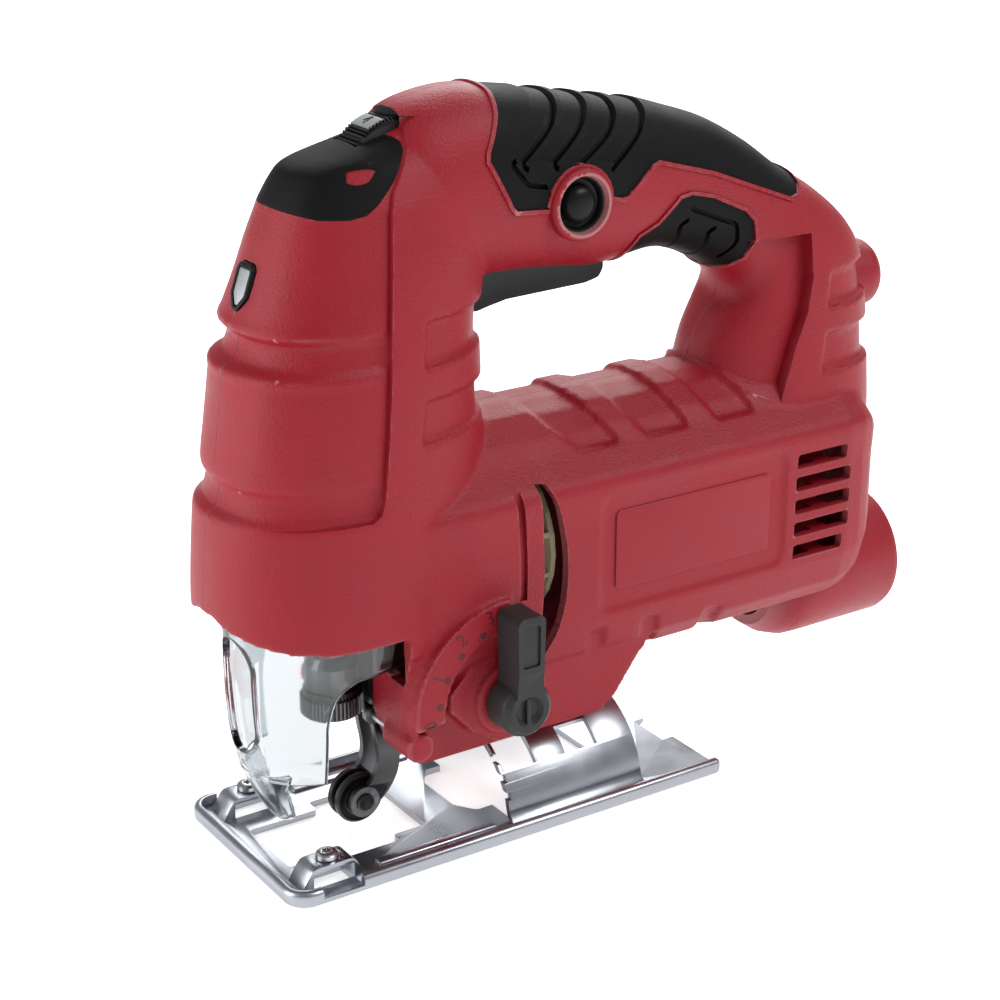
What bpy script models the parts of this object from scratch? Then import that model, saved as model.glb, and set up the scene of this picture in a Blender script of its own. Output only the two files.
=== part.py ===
"""Orbital jigsaw with a D-handle, as an assembly of separate solids.

Frame: the front of the tool is -X, +Z is up, the shoe's underside is z = 0, and the tool's centre
plane is y = 0. The origin lies on the shoe's web, between the blade opening and the rear window.
Sizes are in millimetres; MM turns them to metres where a vertex is made.
"""
from math import asin, cos, degrees, hypot, pi, radians, sin

import bmesh
import bpy
from mathutils import Matrix, Vector

MM = 0.001

# ---- driving dimensions, mm ---------------------------------------------------------------
GAP = 0.3              # air between pieces that touch or are fitted
RUN = 0.12             # radial running clearance of a shaft in a bore
WALL = 3.0             # moulded housing wall
GRIP_THICK = 2.0       # soft overmould on the handle
SPLIT = 0.1            # half the parting gap between the housing halves
ROUND = 24             # sides of a round piece

SHOE_FRONT, SHOE_REAR = -59.0, 85.5
SHOE_HALF = 33.0
SHOE_THICK = 2.0
SHOE_LIP = 4.8
ARCH_FRONT, ARCH_REAR = 14.7, 61.0
ARCH_RADIUS = 26.0
ARCH_THICK = 1.8
TILT_Z = -1.0          # height of the bevel axis
TILT_MAX = 45.0
SLOT_FRONT, SLOT_REAR = 37.2, 48.5   # rear pair of arch slots, where the clamp screw passes
FENCE_X = -43.7        # middle of the two fence bridges
FENCE_Y = 23.2
FENCE_WIDTH = 12.6     # clear width for the fence bar

BLADE_X = -28.0        # plunger and blade line
CLAMP_BOTTOM = 38.8
STROKE = 18.0
PLUNGER_R = 4.5
COLLAR_R = 8.9
COLLAR_HEIGHT = 8.0

ROLLER_X, ROLLER_Z, ROLLER_R = -21.4, 10.1, 7.5
ROLLER_HALF = 3.2
FORK_PIVOT_X, FORK_PIVOT_Z = -17.6, 36.6
FORK_PIN_R = 1.5
FORK_ARM = 2.0

LEVER_X, LEVER_Z = 9.6, 45.5
LEVER_HUB_R = 8.0
CAM_R = 4.0

MOTOR_Z = 80.0
STATOR_R = 26.0
STATOR_FRONT, STATOR_REAR = 48.0, 92.0
BORE_R = 15.6          # stator bore
ARMATURE_R = 14.9
SHAFT_R = 3.5
FAN_R = 23.5
FAN_FRONT, FAN_REAR = 20.5, 31.0
BEARING_R = 9.5
COMMUTATOR_R = 10.0

MODULE = 1.0
PINION_TEETH = 10
GEAR_TEETH = 42
GEAR_FRONT, GEAR_REAR = -14.0, -7.0
GEAR_SHAFT_R = 4.0
FRAME_FRONT, FRAME_REAR = 0.0, 7.0

PORT_R, PORT_Z, PORT_REAR = 20.5, 44.6, 164.5
PORT_BORE = 17.5
GLAND_R, GLAND_Z, GLAND_REAR = 10.5, 136.5, 160.0

BUTTON_X, BUTTON_Z = 41.0, 177.0
BUTTON_R = 5.0
TRIGGER_FRONT, TRIGGER_REAR = 13.5, 57.0
TRIGGER_LOW, TRIGGER_TRAVEL = 150.5, 6.0
TRIGGER_HALF = 8.0

DIAL_X, DIAL_Z, DIAL_R = -7.0, 188.5, 15.0
DIAL_HALF = 5.5
LAMP_X, LAMP_Z = -49.5, 164.0

SCREWS = ((-16.0, 160.0), (-45.0, 128.0), (66.0, 184.0), (127.0, 148.0), (137.0, 107.0),
          (40.0, 46.0), (112.0, 52.0))
BOSS_R = 4.2
SCREW_R = 1.7
SCREW_HEAD_R = 3.4

SWITCH_HALF = 6.8
SWITCH_SPAN = (172.6, 192.0)
DIAL_BORE = 2.2
LEVER_SEAT, LEVER_FACE = -33.4, -43.6
SHAFT_REAR = 127.5
PINION_BORE = 2.6
COMMUTATOR_FRONT = 98.5
COIL_LOW, COIL_HIGH = 19.0, 23.6
FAN_BLADES = 12
UPPER_BUSH, LOWER_BUSH = (132.5, 143.0), (75.5, 85.5)
BUSH_R = 7.0
YOKE_REAR = -18.6
CRANK_R = 3.0
FENCE_ROOF = 6.3       # underside of the fence bridges
GUARD_PIN = (-12.0, 62.7)
GUARD_PIN_R = 1.45
SINK_Y = 11.0          # where the screw heads sit
TAIL_Z = 50.8          # underside of the fork's tail, over the cam
GUARD_REAR = -9.5
CLAMP_SCREW_R = 2.5

GEAR_Z = MOTOR_Z + MODULE * (PINION_TEETH + GEAR_TEETH) / 2 + 0.25
CRANK = STROKE / 2
SHOE_CLEAR = 0.4       # saddle's air over the arch


# ---- scene and helpers --------------------------------------------------------------------
for old in list(bpy.data.objects):
    bpy.data.objects.remove(old, do_unlink=True)

parts = bpy.data.collections.new("jigsaw")
cutters = bpy.data.collections.new("cutters")
bpy.context.scene.collection.children.link(parts)
bpy.context.scene.collection.children.link(cutters)


def linear(value):
    """One sRGB channel, 0 to 255, as linear light."""
    value /= 255
    return value / 12.92 if value <= 0.04045 else ((value + 0.055) / 1.055) ** 2.4


def material(name, colour, roughness, metallic=0.0, alpha=1.0):
    made = bpy.data.materials.new(name)
    made.use_nodes = True
    shader = made.node_tree.nodes["Principled BSDF"]
    red, green, blue = (linear(int(colour[i:i + 2], 16)) for i in (1, 3, 5))
    shader.inputs["Base Color"].default_value = (red, green, blue, 1)
    shader.inputs["Roughness"].default_value = roughness
    shader.inputs["Metallic"].default_value = metallic
    shader.inputs["Alpha"].default_value = alpha
    made.diffuse_color = (red, green, blue, alpha)
    return made


RED = material("red_nylon", "#A8242F", 0.45)
SOFT_BLACK = material("soft_black", "#26262A", 0.7)
BLACK = material("black_plastic", "#1E1F22", 0.4)
CLEAR = material("clear_plastic", "#E8ECEE", 0.08, alpha=0.35)
ZINC = material("zinc_plate", "#C8CCD2", 0.28, 1.0)
STEEL = material("bright_steel", "#B8B8BA", 0.3, 1.0)
DARK_STEEL = material("black_oxide_steel", "#2B2A2C", 0.4, 1.0)
CORE_STEEL = material("lamination_steel", "#77777A", 0.5, 1.0)
COPPER = material("copper", "#B06A3A", 0.35, 1.0)
BRONZE = material("sintered_bronze", "#A8824A", 0.5, 1.0)
ALUMINIUM = material("cast_aluminium", "#A9ABAE", 0.5, 1.0)
CREAM = material("cream_plastic", "#D9CFAE", 0.5)
CARBON = material("carbon", "#2A2A2A", 0.6)


def place(obj, collection, finish=None):
    for owner in list(obj.users_collection):
        owner.objects.unlink(obj)
    collection.objects.link(obj)
    if finish:
        obj.data.materials.clear()
        obj.data.materials.append(finish)
    return obj


def hide(obj):
    """Make an object a cutter: kept out of the model itself."""
    place(obj, cutters)
    obj.hide_render = True
    obj.display_type = "WIRE"
    return obj


def blank(name, mesh):
    """A new object among the cutters, where it stays unless finish() takes it."""
    obj = bpy.data.objects.new(name, mesh)
    return hide(obj)


def from_bmesh(name, bm):
    bmesh.ops.recalc_face_normals(bm, faces=bm.faces)
    mesh = bpy.data.meshes.new(name)
    bm.to_mesh(mesh)
    bm.free()
    return blank(name, mesh)


def box(name, x, y, z, bevel=0.0):
    """A block between the given pairs of limits, mm, with its edges rounded by bevel."""
    bm = bmesh.new()
    bmesh.ops.create_cube(bm, size=1.0)
    size = Vector((x[1] - x[0], y[1] - y[0], z[1] - z[0])) * MM
    centre = Vector((x[0] + x[1], y[0] + y[1], z[0] + z[1])) * (MM / 2)
    bmesh.ops.scale(bm, vec=size, verts=bm.verts)
    bmesh.ops.translate(bm, vec=centre, verts=bm.verts)
    if bevel:
        bmesh.ops.bevel(bm, geom=bm.edges[:], offset=bevel * MM, segments=2, profile=0.5,
                        affect="EDGES")
    return from_bmesh(name, bm)


TURN = {"X": Matrix.Rotation(pi / 2, 4, "Y"), "Y": Matrix.Rotation(-pi / 2, 4, "X"),
        "Z": Matrix.Identity(4)}


def rod(name, axis, centre, span, radius, radius_end=None, sides=ROUND):
    """A cylinder or cone along an axis; span is its two ends on that axis, centre the other two."""
    bm = bmesh.new()
    length = (span[1] - span[0]) * MM
    bmesh.ops.create_cone(bm, cap_ends=True, segments=sides, radius1=radius * MM,
                          radius2=(radius if radius_end is None else radius_end) * MM,
                          depth=length)
    bmesh.ops.transform(bm, matrix=TURN[axis], verts=bm.verts)
    middle = (span[0] + span[1]) / 2
    spot = {"X": (middle, *centre), "Y": (centre[0], middle, centre[1]),
            "Z": (*centre, middle)}[axis]
    bmesh.ops.translate(bm, vec=Vector(spot) * MM, verts=bm.verts)
    return from_bmesh(name, bm)


def tube(name, axis, centre, span, outer, inner, sides=ROUND):
    body = rod(name, axis, centre, span, outer, sides=sides)
    cut(body, rod(name + "_bore", axis, centre, (span[0] - 1, span[1] + 1), inner, sides=sides))
    return body


def prism(name, axis, outline, span):
    """An outline in the plane across an axis, extruded over span. (x, z) for Y, (y, z) for X."""
    bm = bmesh.new()
    rows = []
    for level in span:
        row = []
        for a, b in outline:
            spot = {"Y": (a, level, b), "X": (level, a, b), "Z": (a, b, level)}[axis]
            row.append(bm.verts.new(Vector(spot) * MM))
        rows.append(row)
    count = len(outline)
    for row in rows:
        bm.faces.new(row)
    for i in range(count):
        j = (i + 1) % count
        bm.faces.new((rows[0][i], rows[0][j], rows[1][j], rows[1][i]))
    return from_bmesh(name, bm)


def loft(name, rings):
    """A closed skin through rings of equal count, capped at both ends."""
    bm = bmesh.new()
    rows = [[bm.verts.new(Vector(spot) * MM) for spot in ring] for ring in rings]
    count = len(rows[0])
    for low, high in zip(rows, rows[1:]):
        for i in range(count):
            j = (i + 1) % count
            bm.faces.new((low[i], low[j], high[j], high[i]))
    bm.faces.new(rows[0])
    bm.faces.new(rows[-1])
    return from_bmesh(name, bm)


def turned(name, axis, centre, profile, sides=ROUND):
    """A profile of (position along the axis, radius) spun round it by a Screw modifier."""
    bm = bmesh.new()
    line = [bm.verts.new(Vector((radius, 0, along)) * MM) for along, radius in profile]
    closed = profile[0][1] > 0 or profile[-1][1] > 0
    for a, b in zip(line, line[1:]):
        bm.edges.new((a, b))
    if closed:
        bm.edges.new((line[-1], line[0]))
    mesh = bpy.data.meshes.new(name)
    bm.to_mesh(mesh)
    bm.free()
    obj = blank(name, mesh)
    screw = obj.modifiers.new("turn", "SCREW")
    screw.steps = screw.render_steps = sides
    screw.use_merge_vertices = True
    screw.merge_threshold = 1e-6
    solid = settle(obj)
    mesh = solid.data
    turn = TURN[axis]
    spot = {"X": (0, *centre), "Y": (centre[0], 0, centre[1]), "Z": (*centre, 0)}[axis]
    mesh.transform(Matrix.Translation(Vector(spot) * MM) @ turn)
    bm = bmesh.new()
    bm.from_mesh(mesh)
    bmesh.ops.recalc_face_normals(bm, faces=bm.faces)
    bm.to_mesh(mesh)
    bm.free()
    return solid


def settle(obj):
    """Apply an object's modifiers, by taking its evaluated mesh."""
    bpy.context.view_layer.update()
    graph = bpy.context.evaluated_depsgraph_get()
    mesh = bpy.data.meshes.new_from_object(obj.evaluated_get(graph))
    mesh.name = obj.name
    obj.modifiers.clear()
    obj.data = mesh
    return obj


def combine(target, tool, how):
    change = target.modifiers.new(tool.name, "BOOLEAN")
    change.operation = how
    change.solver = "EXACT"
    change.object = tool
    return target


def cut(target, *tools):
    for tool in tools:
        combine(target, tool, "DIFFERENCE")
    return target


def join(target, *tools):
    for tool in tools:
        combine(target, tool, "UNION")
    return target


def keep(target, tool):
    return combine(target, tool, "INTERSECT")


def copy_of(obj, name):
    return blank(name, obj.data.copy())


def finish(obj, finish_material, smooth=35):
    """Put a finished piece in the model."""
    settle(obj)
    place(obj, parts, finish_material)
    obj.hide_render = False
    obj.display_type = "TEXTURED"
    obj.data.shade_smooth()
    obj.data.set_sharp_from_angle(angle=radians(smooth))
    return obj


def arc(centre, radius, start, end, steps):
    """Points on an arc in degrees, both ends included."""
    return [(centre[0] + radius * cos(radians(start + (end - start) * i / steps)),
             centre[1] + radius * sin(radians(start + (end - start) * i / steps)))
            for i in range(steps + 1)]


def oval(centre, half_front, half_rear, half_width, power, count=20):
    """An egg-shaped ring: (across length, across width), blunter as power grows."""
    ring = []
    for i in range(count):
        turn = 2 * pi * (i + 0.5) / count
        c, s = cos(turn), sin(turn)
        reach = half_rear if c >= 0 else half_front
        ring.append((centre + reach * abs(c) ** (2 / power) * (1 if c >= 0 else -1),
                     half_width * abs(s) ** (2 / power) * (1 if s >= 0 else -1)))
    return ring


# ---- housing form -------------------------------------------------------------------------
# height, front, widest point, rear, half width, bluntness
NOSE = ((64, -65.3, -30, 16, 31.0, 2.2), (85, -65.6, -30, 16, 31.2, 2.2),
        (94, -64.6, -29, 16, 31.0, 2.2), (112, -61.9, -28, 16.5, 30.6, 2.2),
        (130, -58.9, -28, 17, 30.0, 2.15), (143, -56.8, -27, 17, 29.0, 2.1),
        (155, -52.8, -25, 18, 27.2, 2.1), (166, -49.0, -22, 20, 25.4, 2.1),
        (175, -45.8, -20, 24, 23.5, 2.1), (184, -42.4, -17, 25, 21.5, 2.1),
        (192, -37.6, -14, 25, 18.0, 2.1), (197, -23.0, -6, 24, 13.5, 2.2),
        (201, -9.0, 2, 22, 9.0, 2.3))
# centre x, centre z, half height, half width, slope in degrees, bluntness
HANDLE = ((-4, 181, 25.5, 19.5, 0, 2.3), (12, 183.3, 25.6, 19.5, 0, 2.4),
          (26, 182.6, 25.0, 19.3, 0, 2.5), (41, 180.8, 24.3, 19.0, -2, 2.5),
          (55, 178.6, 23.6, 18.5, -5, 2.5), (66, 178.0, 22.2, 18.2, -8, 2.4),
          (77, 176.8, 20.0, 18.0, -11, 2.4), (88, 173.6, 19.2, 18.0, -16, 2.4),
          (99.5, 167.8, 18.4, 18.3, -22, 2.4), (110, 160.6, 17.8, 19.2, -31, 2.4),
          (118, 153.5, 20.5, 20.5, -46, 2.4), (124, 142.5, 26.6, 21.8, -70, 2.4),
          (124, 128, 30.0, 22.8, -84, 2.4), (123.5, 112, 31.5, 24.0, -90, 2.5),
          (123.5, 96.5, 31.5, 25.0, -90, 2.5), (122, 91, 27.5, 25.0, -90, 2.5))
# half section of the motor barrel: (y, z)
BARREL = ((4, 120.8), (12, 118.6), (19.5, 112.5), (23, 107.5), (29.5, 106), (31.2, 103.2),
          (30.6, 98.5), (30.2, 90), (30.2, 62), (29, 53), (25, 46.5), (15, 41.5), (5, 40.6))
# x, and the barrel's scale about the motor axis there
BARREL_RUN = ((-20, 0.96), (0, 1.0), (132, 1.0), (139, 0.96), (143.5, 0.88), (146.5, 0.74))
SKIRT = ((-20, 72), (-20, 41), (-17.5, 33), (-14, 27.6), (47, 27.6), (52.5, 33.5), (61, 45.5),
         (70, 60), (70, 72))
SKIRT_HALF = 27.5
SOLE_HALF = 24.5


def nose(name, wall, bottom, top):
    rings = []
    for z, front, middle, rear, half, power in NOSE:
        ring = oval(middle, middle - front - wall, rear - middle - wall, half - wall, power)
        rings.append([(x, y, z) for x, y in ring])
    rings[0] = [(x, y, bottom) for x, y, z in rings[0]]
    rings[-1] = [(x, y, top) for x, y, z in rings[-1]]
    return loft(name, rings)


def handle(name, wall, rows=HANDLE):
    rings = []
    for x, z, high, half, slope, power in rows:
        if (x, z) == rows[0][:2]:
            x += wall
        if (x, z) == rows[-1][:2]:
            z += wall
        along = radians(slope)
        ring = oval(0, high - wall, high - wall, half - wall, power)
        rings.append([(x - sin(along) * up, side, z + cos(along) * up) for up, side in ring])
    return loft(name, rings)


def barrel(name, wall, run=BARREL_RUN):
    outline = list(BARREL) + [(-y, z) for y, z in reversed(BARREL)]
    rings = []
    for x, scale in run:
        ring = []
        for y, z in outline:
            out = hypot(y, z - MOTOR_Z)
            shrink = scale - wall / out
            ring.append((x, y * shrink, MOTOR_Z + (z - MOTOR_Z) * shrink))
        rings.append(ring)
    return loft(name, rings)


def skirt(name, wall):
    """The lower block: wide at the top, narrower at the sole."""
    low = min(z for x, z in SKIRT) + wall
    rings = []
    for x, z in SKIRT:
        inset_x = wall if x < 0 else (-wall if x > 40 else 0)
        z = max(z, low)
        part_up = (z - low) / (72 - low)
        half = SOLE_HALF + (SKIRT_HALF - SOLE_HALF) * part_up - wall
        rings.append(((x + inset_x, half, z), (x + inset_x, -half, z)))
    bm = bmesh.new()
    near = [bm.verts.new(Vector(ring[0]) * MM) for ring in rings]
    far = [bm.verts.new(Vector(ring[1]) * MM) for ring in rings]
    count = len(near)
    for i in range(count):
        j = (i + 1) % count
        bm.faces.new((near[i], near[j], far[j], far[i]))
    bm.faces.new(near)
    bm.faces.new(far)
    bmesh.ops.triangulate(bm, faces=[face for face in bm.faces if len(face.verts) > 4])
    return from_bmesh(name, bm)


def body_form():
    """The whole outer form of the two housing halves, before it is hollowed and split."""
    form = nose("form_nose", 0, 64, 203.5)
    rim = prism("rim_cut", "X", ((-40, 50), (40, 50), (40, 67.2), (22, 71.8), (10, 75.2), (4, 77),
                                 (-4, 77), (-10, 75.2), (-22, 71.8), (-40, 67.2)), (-80, -20.3))
    cut(form, rim)
    join(form, barrel("form_barrel", 0), handle("form_handle", 0), skirt("form_skirt", 0))
    saddle = box("saddle", (16, 46), (-11.5, 11.5), (24, 32))
    cut(saddle, rod("saddle_seat", "X", (0, TILT_Z), (10, 52), ARCH_RADIUS + SHOE_CLEAR, sides=64))
    join(form, saddle)
    for side in (-1, 1):
        span = sorted((side * 16, side * 31))
        join(form, rod("pivot_boss", "Y", (FORK_PIVOT_X, FORK_PIVOT_Z), span, 4.2, sides=24))
    collar = rod("button_collar", "Y", (BUTTON_X, BUTTON_Z), (-20.2, -10), 9.9)
    join(form, collar)
    lever_boss = rod("lever_boss", "Y", (LEVER_X, LEVER_Z), (-33.0, -20), 10.5)
    scale = prism("detent_arc", "Y", arc((LEVER_X, LEVER_Z), 29, 95, 182, 10)
                  + arc((LEVER_X, LEVER_Z), 21.5, 182, 95, 10), (-32.2, -20))
    return join(form, lever_boss, scale)


def cavity():
    """The hollow inside the housing, less the ribs and screw bosses that stand in it."""
    hollow = nose("hollow_nose", WALL, 55, 197.5)
    span = [(x, scale) for x, scale in BARREL_RUN]
    span[0], span[-1] = (-17, 0.96), (BARREL_RUN[-1][0] - WALL, 0.76)
    inner_handle = handle("hollow_handle", WALL + GRIP_THICK)
    join(hollow, barrel("hollow_barrel", WALL, span), inner_handle, skirt("hollow_skirt", WALL),
         box("fork_bay", (-26, -6), (-9, 9), (20, 60)))
    ribs = []
    for x, width, hole in ((35.5, 3, 17.0), (56, 3, STATOR_R + GAP), (84, 3, STATOR_R + GAP),
                           (120.5, 6, BEARING_R + RUN)):
        rib = box("rib", (x, x + width), (-40, 40), (32, 124))
        cut(rib, rod("rib_hole", "X", (0, MOTOR_Z), (x - 1, x + width + 1), hole))
        ribs.append(settle(rib))
    for x, z in SCREWS:
        ribs.append(rod("boss", "Y", (x, z), (-40, 40), BOSS_R, sides=12))
    return cut(settle(hollow), *ribs)


GRIP_EDGE = ([(18, 230), (19.5, 208), (17.5, 203), (12, 193), (20, 178), (31, 177.2)]
             + arc((BUTTON_X, BUTTON_Z), 10.5, 172, 4, 10)
             + [(56, 176.8), (67, 185.5), (87, 180), (117, 168.3), (121.5, 170), (122, 174),
                (121, 190), (100, 230)])
PAD_EDGE = [(60, 140), (62, 161), (71, 166.5), (76, 172.5), (81, 174), (98, 167.5), (103, 163),
            (105, 154), (102, 148), (100, 140)]
CAP_EDGE = [(-70, 184), (-45, 182), (-29, 182.4), (-22.5, 183.5), (-15, 190), (-8, 198),
            (-6, 215), (-70, 215)]


def grown(outline, by):
    """An outline moved outwards by a distance at each corner, along its corner's bisector."""
    area = sum(a[0] * b[1] - b[0] * a[1] for a, b in zip(outline, outline[1:] + outline[:1]))
    turn = 1 if area > 0 else -1
    moved = []
    for i, here in enumerate(outline):
        before = Vector(here) - Vector(outline[i - 1])
        after = Vector(outline[(i + 1) % len(outline)]) - Vector(here)
        normal = Vector((before.y, -before.x)).normalized() * turn
        second = Vector((after.y, -after.x)).normalized() * turn
        bisector = (normal + second).normalized()
        moved.append(tuple(Vector(here) + bisector * by / max(0.35, bisector.dot(normal))))
    return moved


def skin_form(name, thick):
    """The surface that the soft pieces sit on: nose and handle, set in by their thickness."""
    base = nose(name + "_nose", thick, 60, 203.5 - thick)
    return join(base, handle(name + "_handle", thick))


def build_housing():
    form = settle(body_form())
    seat = settle(skin_form("soft_seat", GRIP_THICK))
    pockets = []
    for name, edge in (("grip_pocket", GRIP_EDGE), ("pad_pocket", PAD_EDGE),
                       ("cap_pocket", CAP_EDGE)):
        pocket = prism(name, "Y", grown(edge, GAP), (-45, 45))
        pockets.append(settle(cut(pocket, copy_of(seat, name + "_seat"))))
    shell = cut(copy_of(form, "shell"), settle(cavity()), *pockets)

    # openings
    cut(shell, box("trigger_slot", (TRIGGER_FRONT - 0.5, TRIGGER_REAR + 0.5),
                   (-TRIGGER_HALF - GAP, TRIGGER_HALF + GAP), (140, 172)))
    cut(shell, rod("button_hole", "Y", (BUTTON_X, BUTTON_Z), (-40, 0), BUTTON_R + GAP))
    cut(shell, box("dial_slot", (DIAL_X - 13, DIAL_X + 13), (-DIAL_HALF - GAP, DIAL_HALF + GAP),
                   (188, 215)))
    cut(shell, box("lamp_hole", (-70, LAMP_X + 9), (-4.3, 4.3), (LAMP_Z - 6.3, LAMP_Z + 6.3)))
    cut(shell, rod("gland_hole", "X", (0, GLAND_Z), (140, 170), GLAND_R + GAP))
    cut(shell, rod("port_hole", "X", (0, PORT_Z), (116.5, 170), PORT_R + GAP))
    cut(shell, rod("fork_pin_hole", "Y", (FORK_PIVOT_X, FORK_PIVOT_Z), (-24, 24),
                   FORK_PIN_R + 0.1, sides=24))
    cut(shell, rod("lever_hole", "Y", (LEVER_X, LEVER_Z), (-40, -5), CAM_R + RUN))
    cut(shell, box("guard_bay_left", (-30, -6.5), (-26, -19), (54, 74)))
    cut(shell, box("guard_bay_right", (-30, -6.5), (19, 26), (54, 74)))
    cut(shell, rod("sole_screw_hole", "Z", ((SLOT_FRONT + SLOT_REAR) / 2, 0), (20, 40), 2.5 + RUN,
                   sides=24))
    for side in (-1, 1):
        span = sorted((side * 22, side * 40))
        vent = prism("fan_vent", "Y", arc((-23.3, MOTOR_Z - 2), 53.8, -29, 29, 10)
                     + arc((-120.5, MOTOR_Z), 143, 10, -10, 6), span)
        cut(shell, vent)
        for i in range(5):
            low = 62.2 + 7.15 * i
            rear = 130.5 + min(i, 1) * 2 - max(0, i - 3) * 2
            cut(shell, box("rear_vent", (111.5, rear), span, (low, low + 4.6)))
    for side in (-1, 1):
        span = sorted((side * 17.5, side * 28.5))
        join(shell, rod("guard_peg", "Y", GUARD_PIN, span, GUARD_PIN_R, sides=12))
    settle(shell)

    halves = []
    for name, span in (("housing_left", (-60, -SPLIT)), ("housing_right", (SPLIT, 60))):
        half = copy_of(shell, name)
        keep(half, box(name + "_side", (-100, 200), span, (-20, 260)))
        for x, z in SCREWS:
            if name == "housing_right":
                cut(half, rod("screw_hole", "Y", (x, z), (-1, 45), SCREW_R + GAP, sides=12))
                cut(half, rod("screw_sink", "Y", (x, z), (SINK_Y, 45), SCREW_HEAD_R + GAP, sides=12))
            else:
                cut(half, rod("screw_hole", "Y", (x, z), (-10, 1), SCREW_R + GAP, sides=12))
        halves.append(finish(half, RED))
    return form


def build_soft_parts(form):
    seat_clear = settle(skin_form("soft_seat_clear", GRIP_THICK - GAP))
    for name, edge in (("top_grip", GRIP_EDGE), ("finger_pad", PAD_EDGE)):
        for side, span in (("left", (-40, -SPLIT)), ("right", (SPLIT, 40))):
            piece = prism(f"{name}_{side}", "Y", edge, span)
            keep(piece, copy_of(form, "trim"))
            cut(piece, copy_of(seat_clear, "trim_inner"))
            if side == "left" and name == "top_grip":
                cut(piece, rod("collar", "Y", (BUTTON_X, BUTTON_Z), (-40, 0), 10.4))
            finish(piece, SOFT_BLACK)
    cap = prism("front_cap", "Y", CAP_EDGE, (-40, 40))
    keep(cap, copy_of(form, "trim"))
    cut(cap, copy_of(seat_clear, "trim_inner"))
    cut(cap, box("dial_window", (DIAL_X - 13, DIAL_X + 13), (-DIAL_HALF - GAP, DIAL_HALF + GAP),
                 (185, 215)))
    finish(cap, SOFT_BLACK)


def build_controls():
    """What the hand works: trigger, lock-on button, speed dial, front button and lever."""
    trigger = box("trigger", (TRIGGER_FRONT, TRIGGER_REAR), (-TRIGGER_HALF, TRIGGER_HALF),
                  (TRIGGER_LOW, TRIGGER_LOW + 13.5), 1.0)
    finish(trigger, BLACK)
    button = rod("lock_on_button", "Y", (BUTTON_X, BUTTON_Z), (-20.6, -14), BUTTON_R)
    join(button, rod("button_stem", "Y", (BUTTON_X, BUTTON_Z), (-15, -SWITCH_HALF - 4), 2.5,
                     sides=16))
    finish(button, BLACK)
    switch = box("switch_module", (14, 54), (-SWITCH_HALF, SWITCH_HALF), SWITCH_SPAN, 0.6)
    join(switch, box("switch_key", (26, 34), (-3, 3),
                     (TRIGGER_LOW + 13.5 + TRIGGER_TRAVEL + GAP, SWITCH_SPAN[0] + 1)))
    finish(switch, BLACK)
    dial = turned("speed_dial", "Y", (DIAL_X, DIAL_Z),
                  ((-DIAL_HALF, DIAL_BORE), (-DIAL_HALF, DIAL_R - 0.6), (-DIAL_HALF + 0.6, DIAL_R),
                   (DIAL_HALF - 0.6, DIAL_R), (DIAL_HALF, DIAL_R - 0.6), (DIAL_HALF, DIAL_BORE)))
    finish(dial, BLACK)
    board = box("speed_control", (DIAL_X - 8, DIAL_X + 7), (DIAL_HALF + 0.7, DIAL_HALF + 5),
                (DIAL_Z - 7, DIAL_Z + 6))
    join(board, rod("dial_post", "Y", (DIAL_X, DIAL_Z), (-DIAL_HALF, DIAL_HALF + 2),
                    DIAL_BORE - RUN, sides=16))
    finish(board, BLACK)
    low, high = LAMP_Z - 6, LAMP_Z + 6
    lamp = prism("front_button", "X", ((-4, high - 1), (-3, high), (3, high), (4, high - 1),
                                       (4, low + 3.5), (0, low), (-4, low + 3.5)),
                 (LAMP_X - 2.2, LAMP_X + 7.5))
    finish(lamp, BLACK)
    lever = rod("pendulum_lever", "Y", (LEVER_X, LEVER_Z), (LEVER_FACE, LEVER_SEAT), LEVER_HUB_R)
    bar = box("lever_bar", (LEVER_X - 4.2, LEVER_X + 4.2), (LEVER_FACE, LEVER_SEAT),
              (LEVER_Z + 2, LEVER_Z + 28.3), 0.8)
    join(lever, bar)
    cut(lever, rod("lever_socket", "Y", (LEVER_X, LEVER_Z), (LEVER_FACE + 3, LEVER_SEAT + 1),
                   CAM_R + 0.1))
    finish(lever, BLACK)
    cam = rod("pendulum_shaft", "Y", (LEVER_X, LEVER_Z), (LEVER_FACE + 3 + GAP, 13), CAM_R)
    cut(cam, box("cam_flat", (LEVER_X - 6, LEVER_X + 6), (-6, 6),
                 (LEVER_Z + CAM_R - 1.6, LEVER_Z + 10)))
    finish(cam, STEEL)


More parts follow.
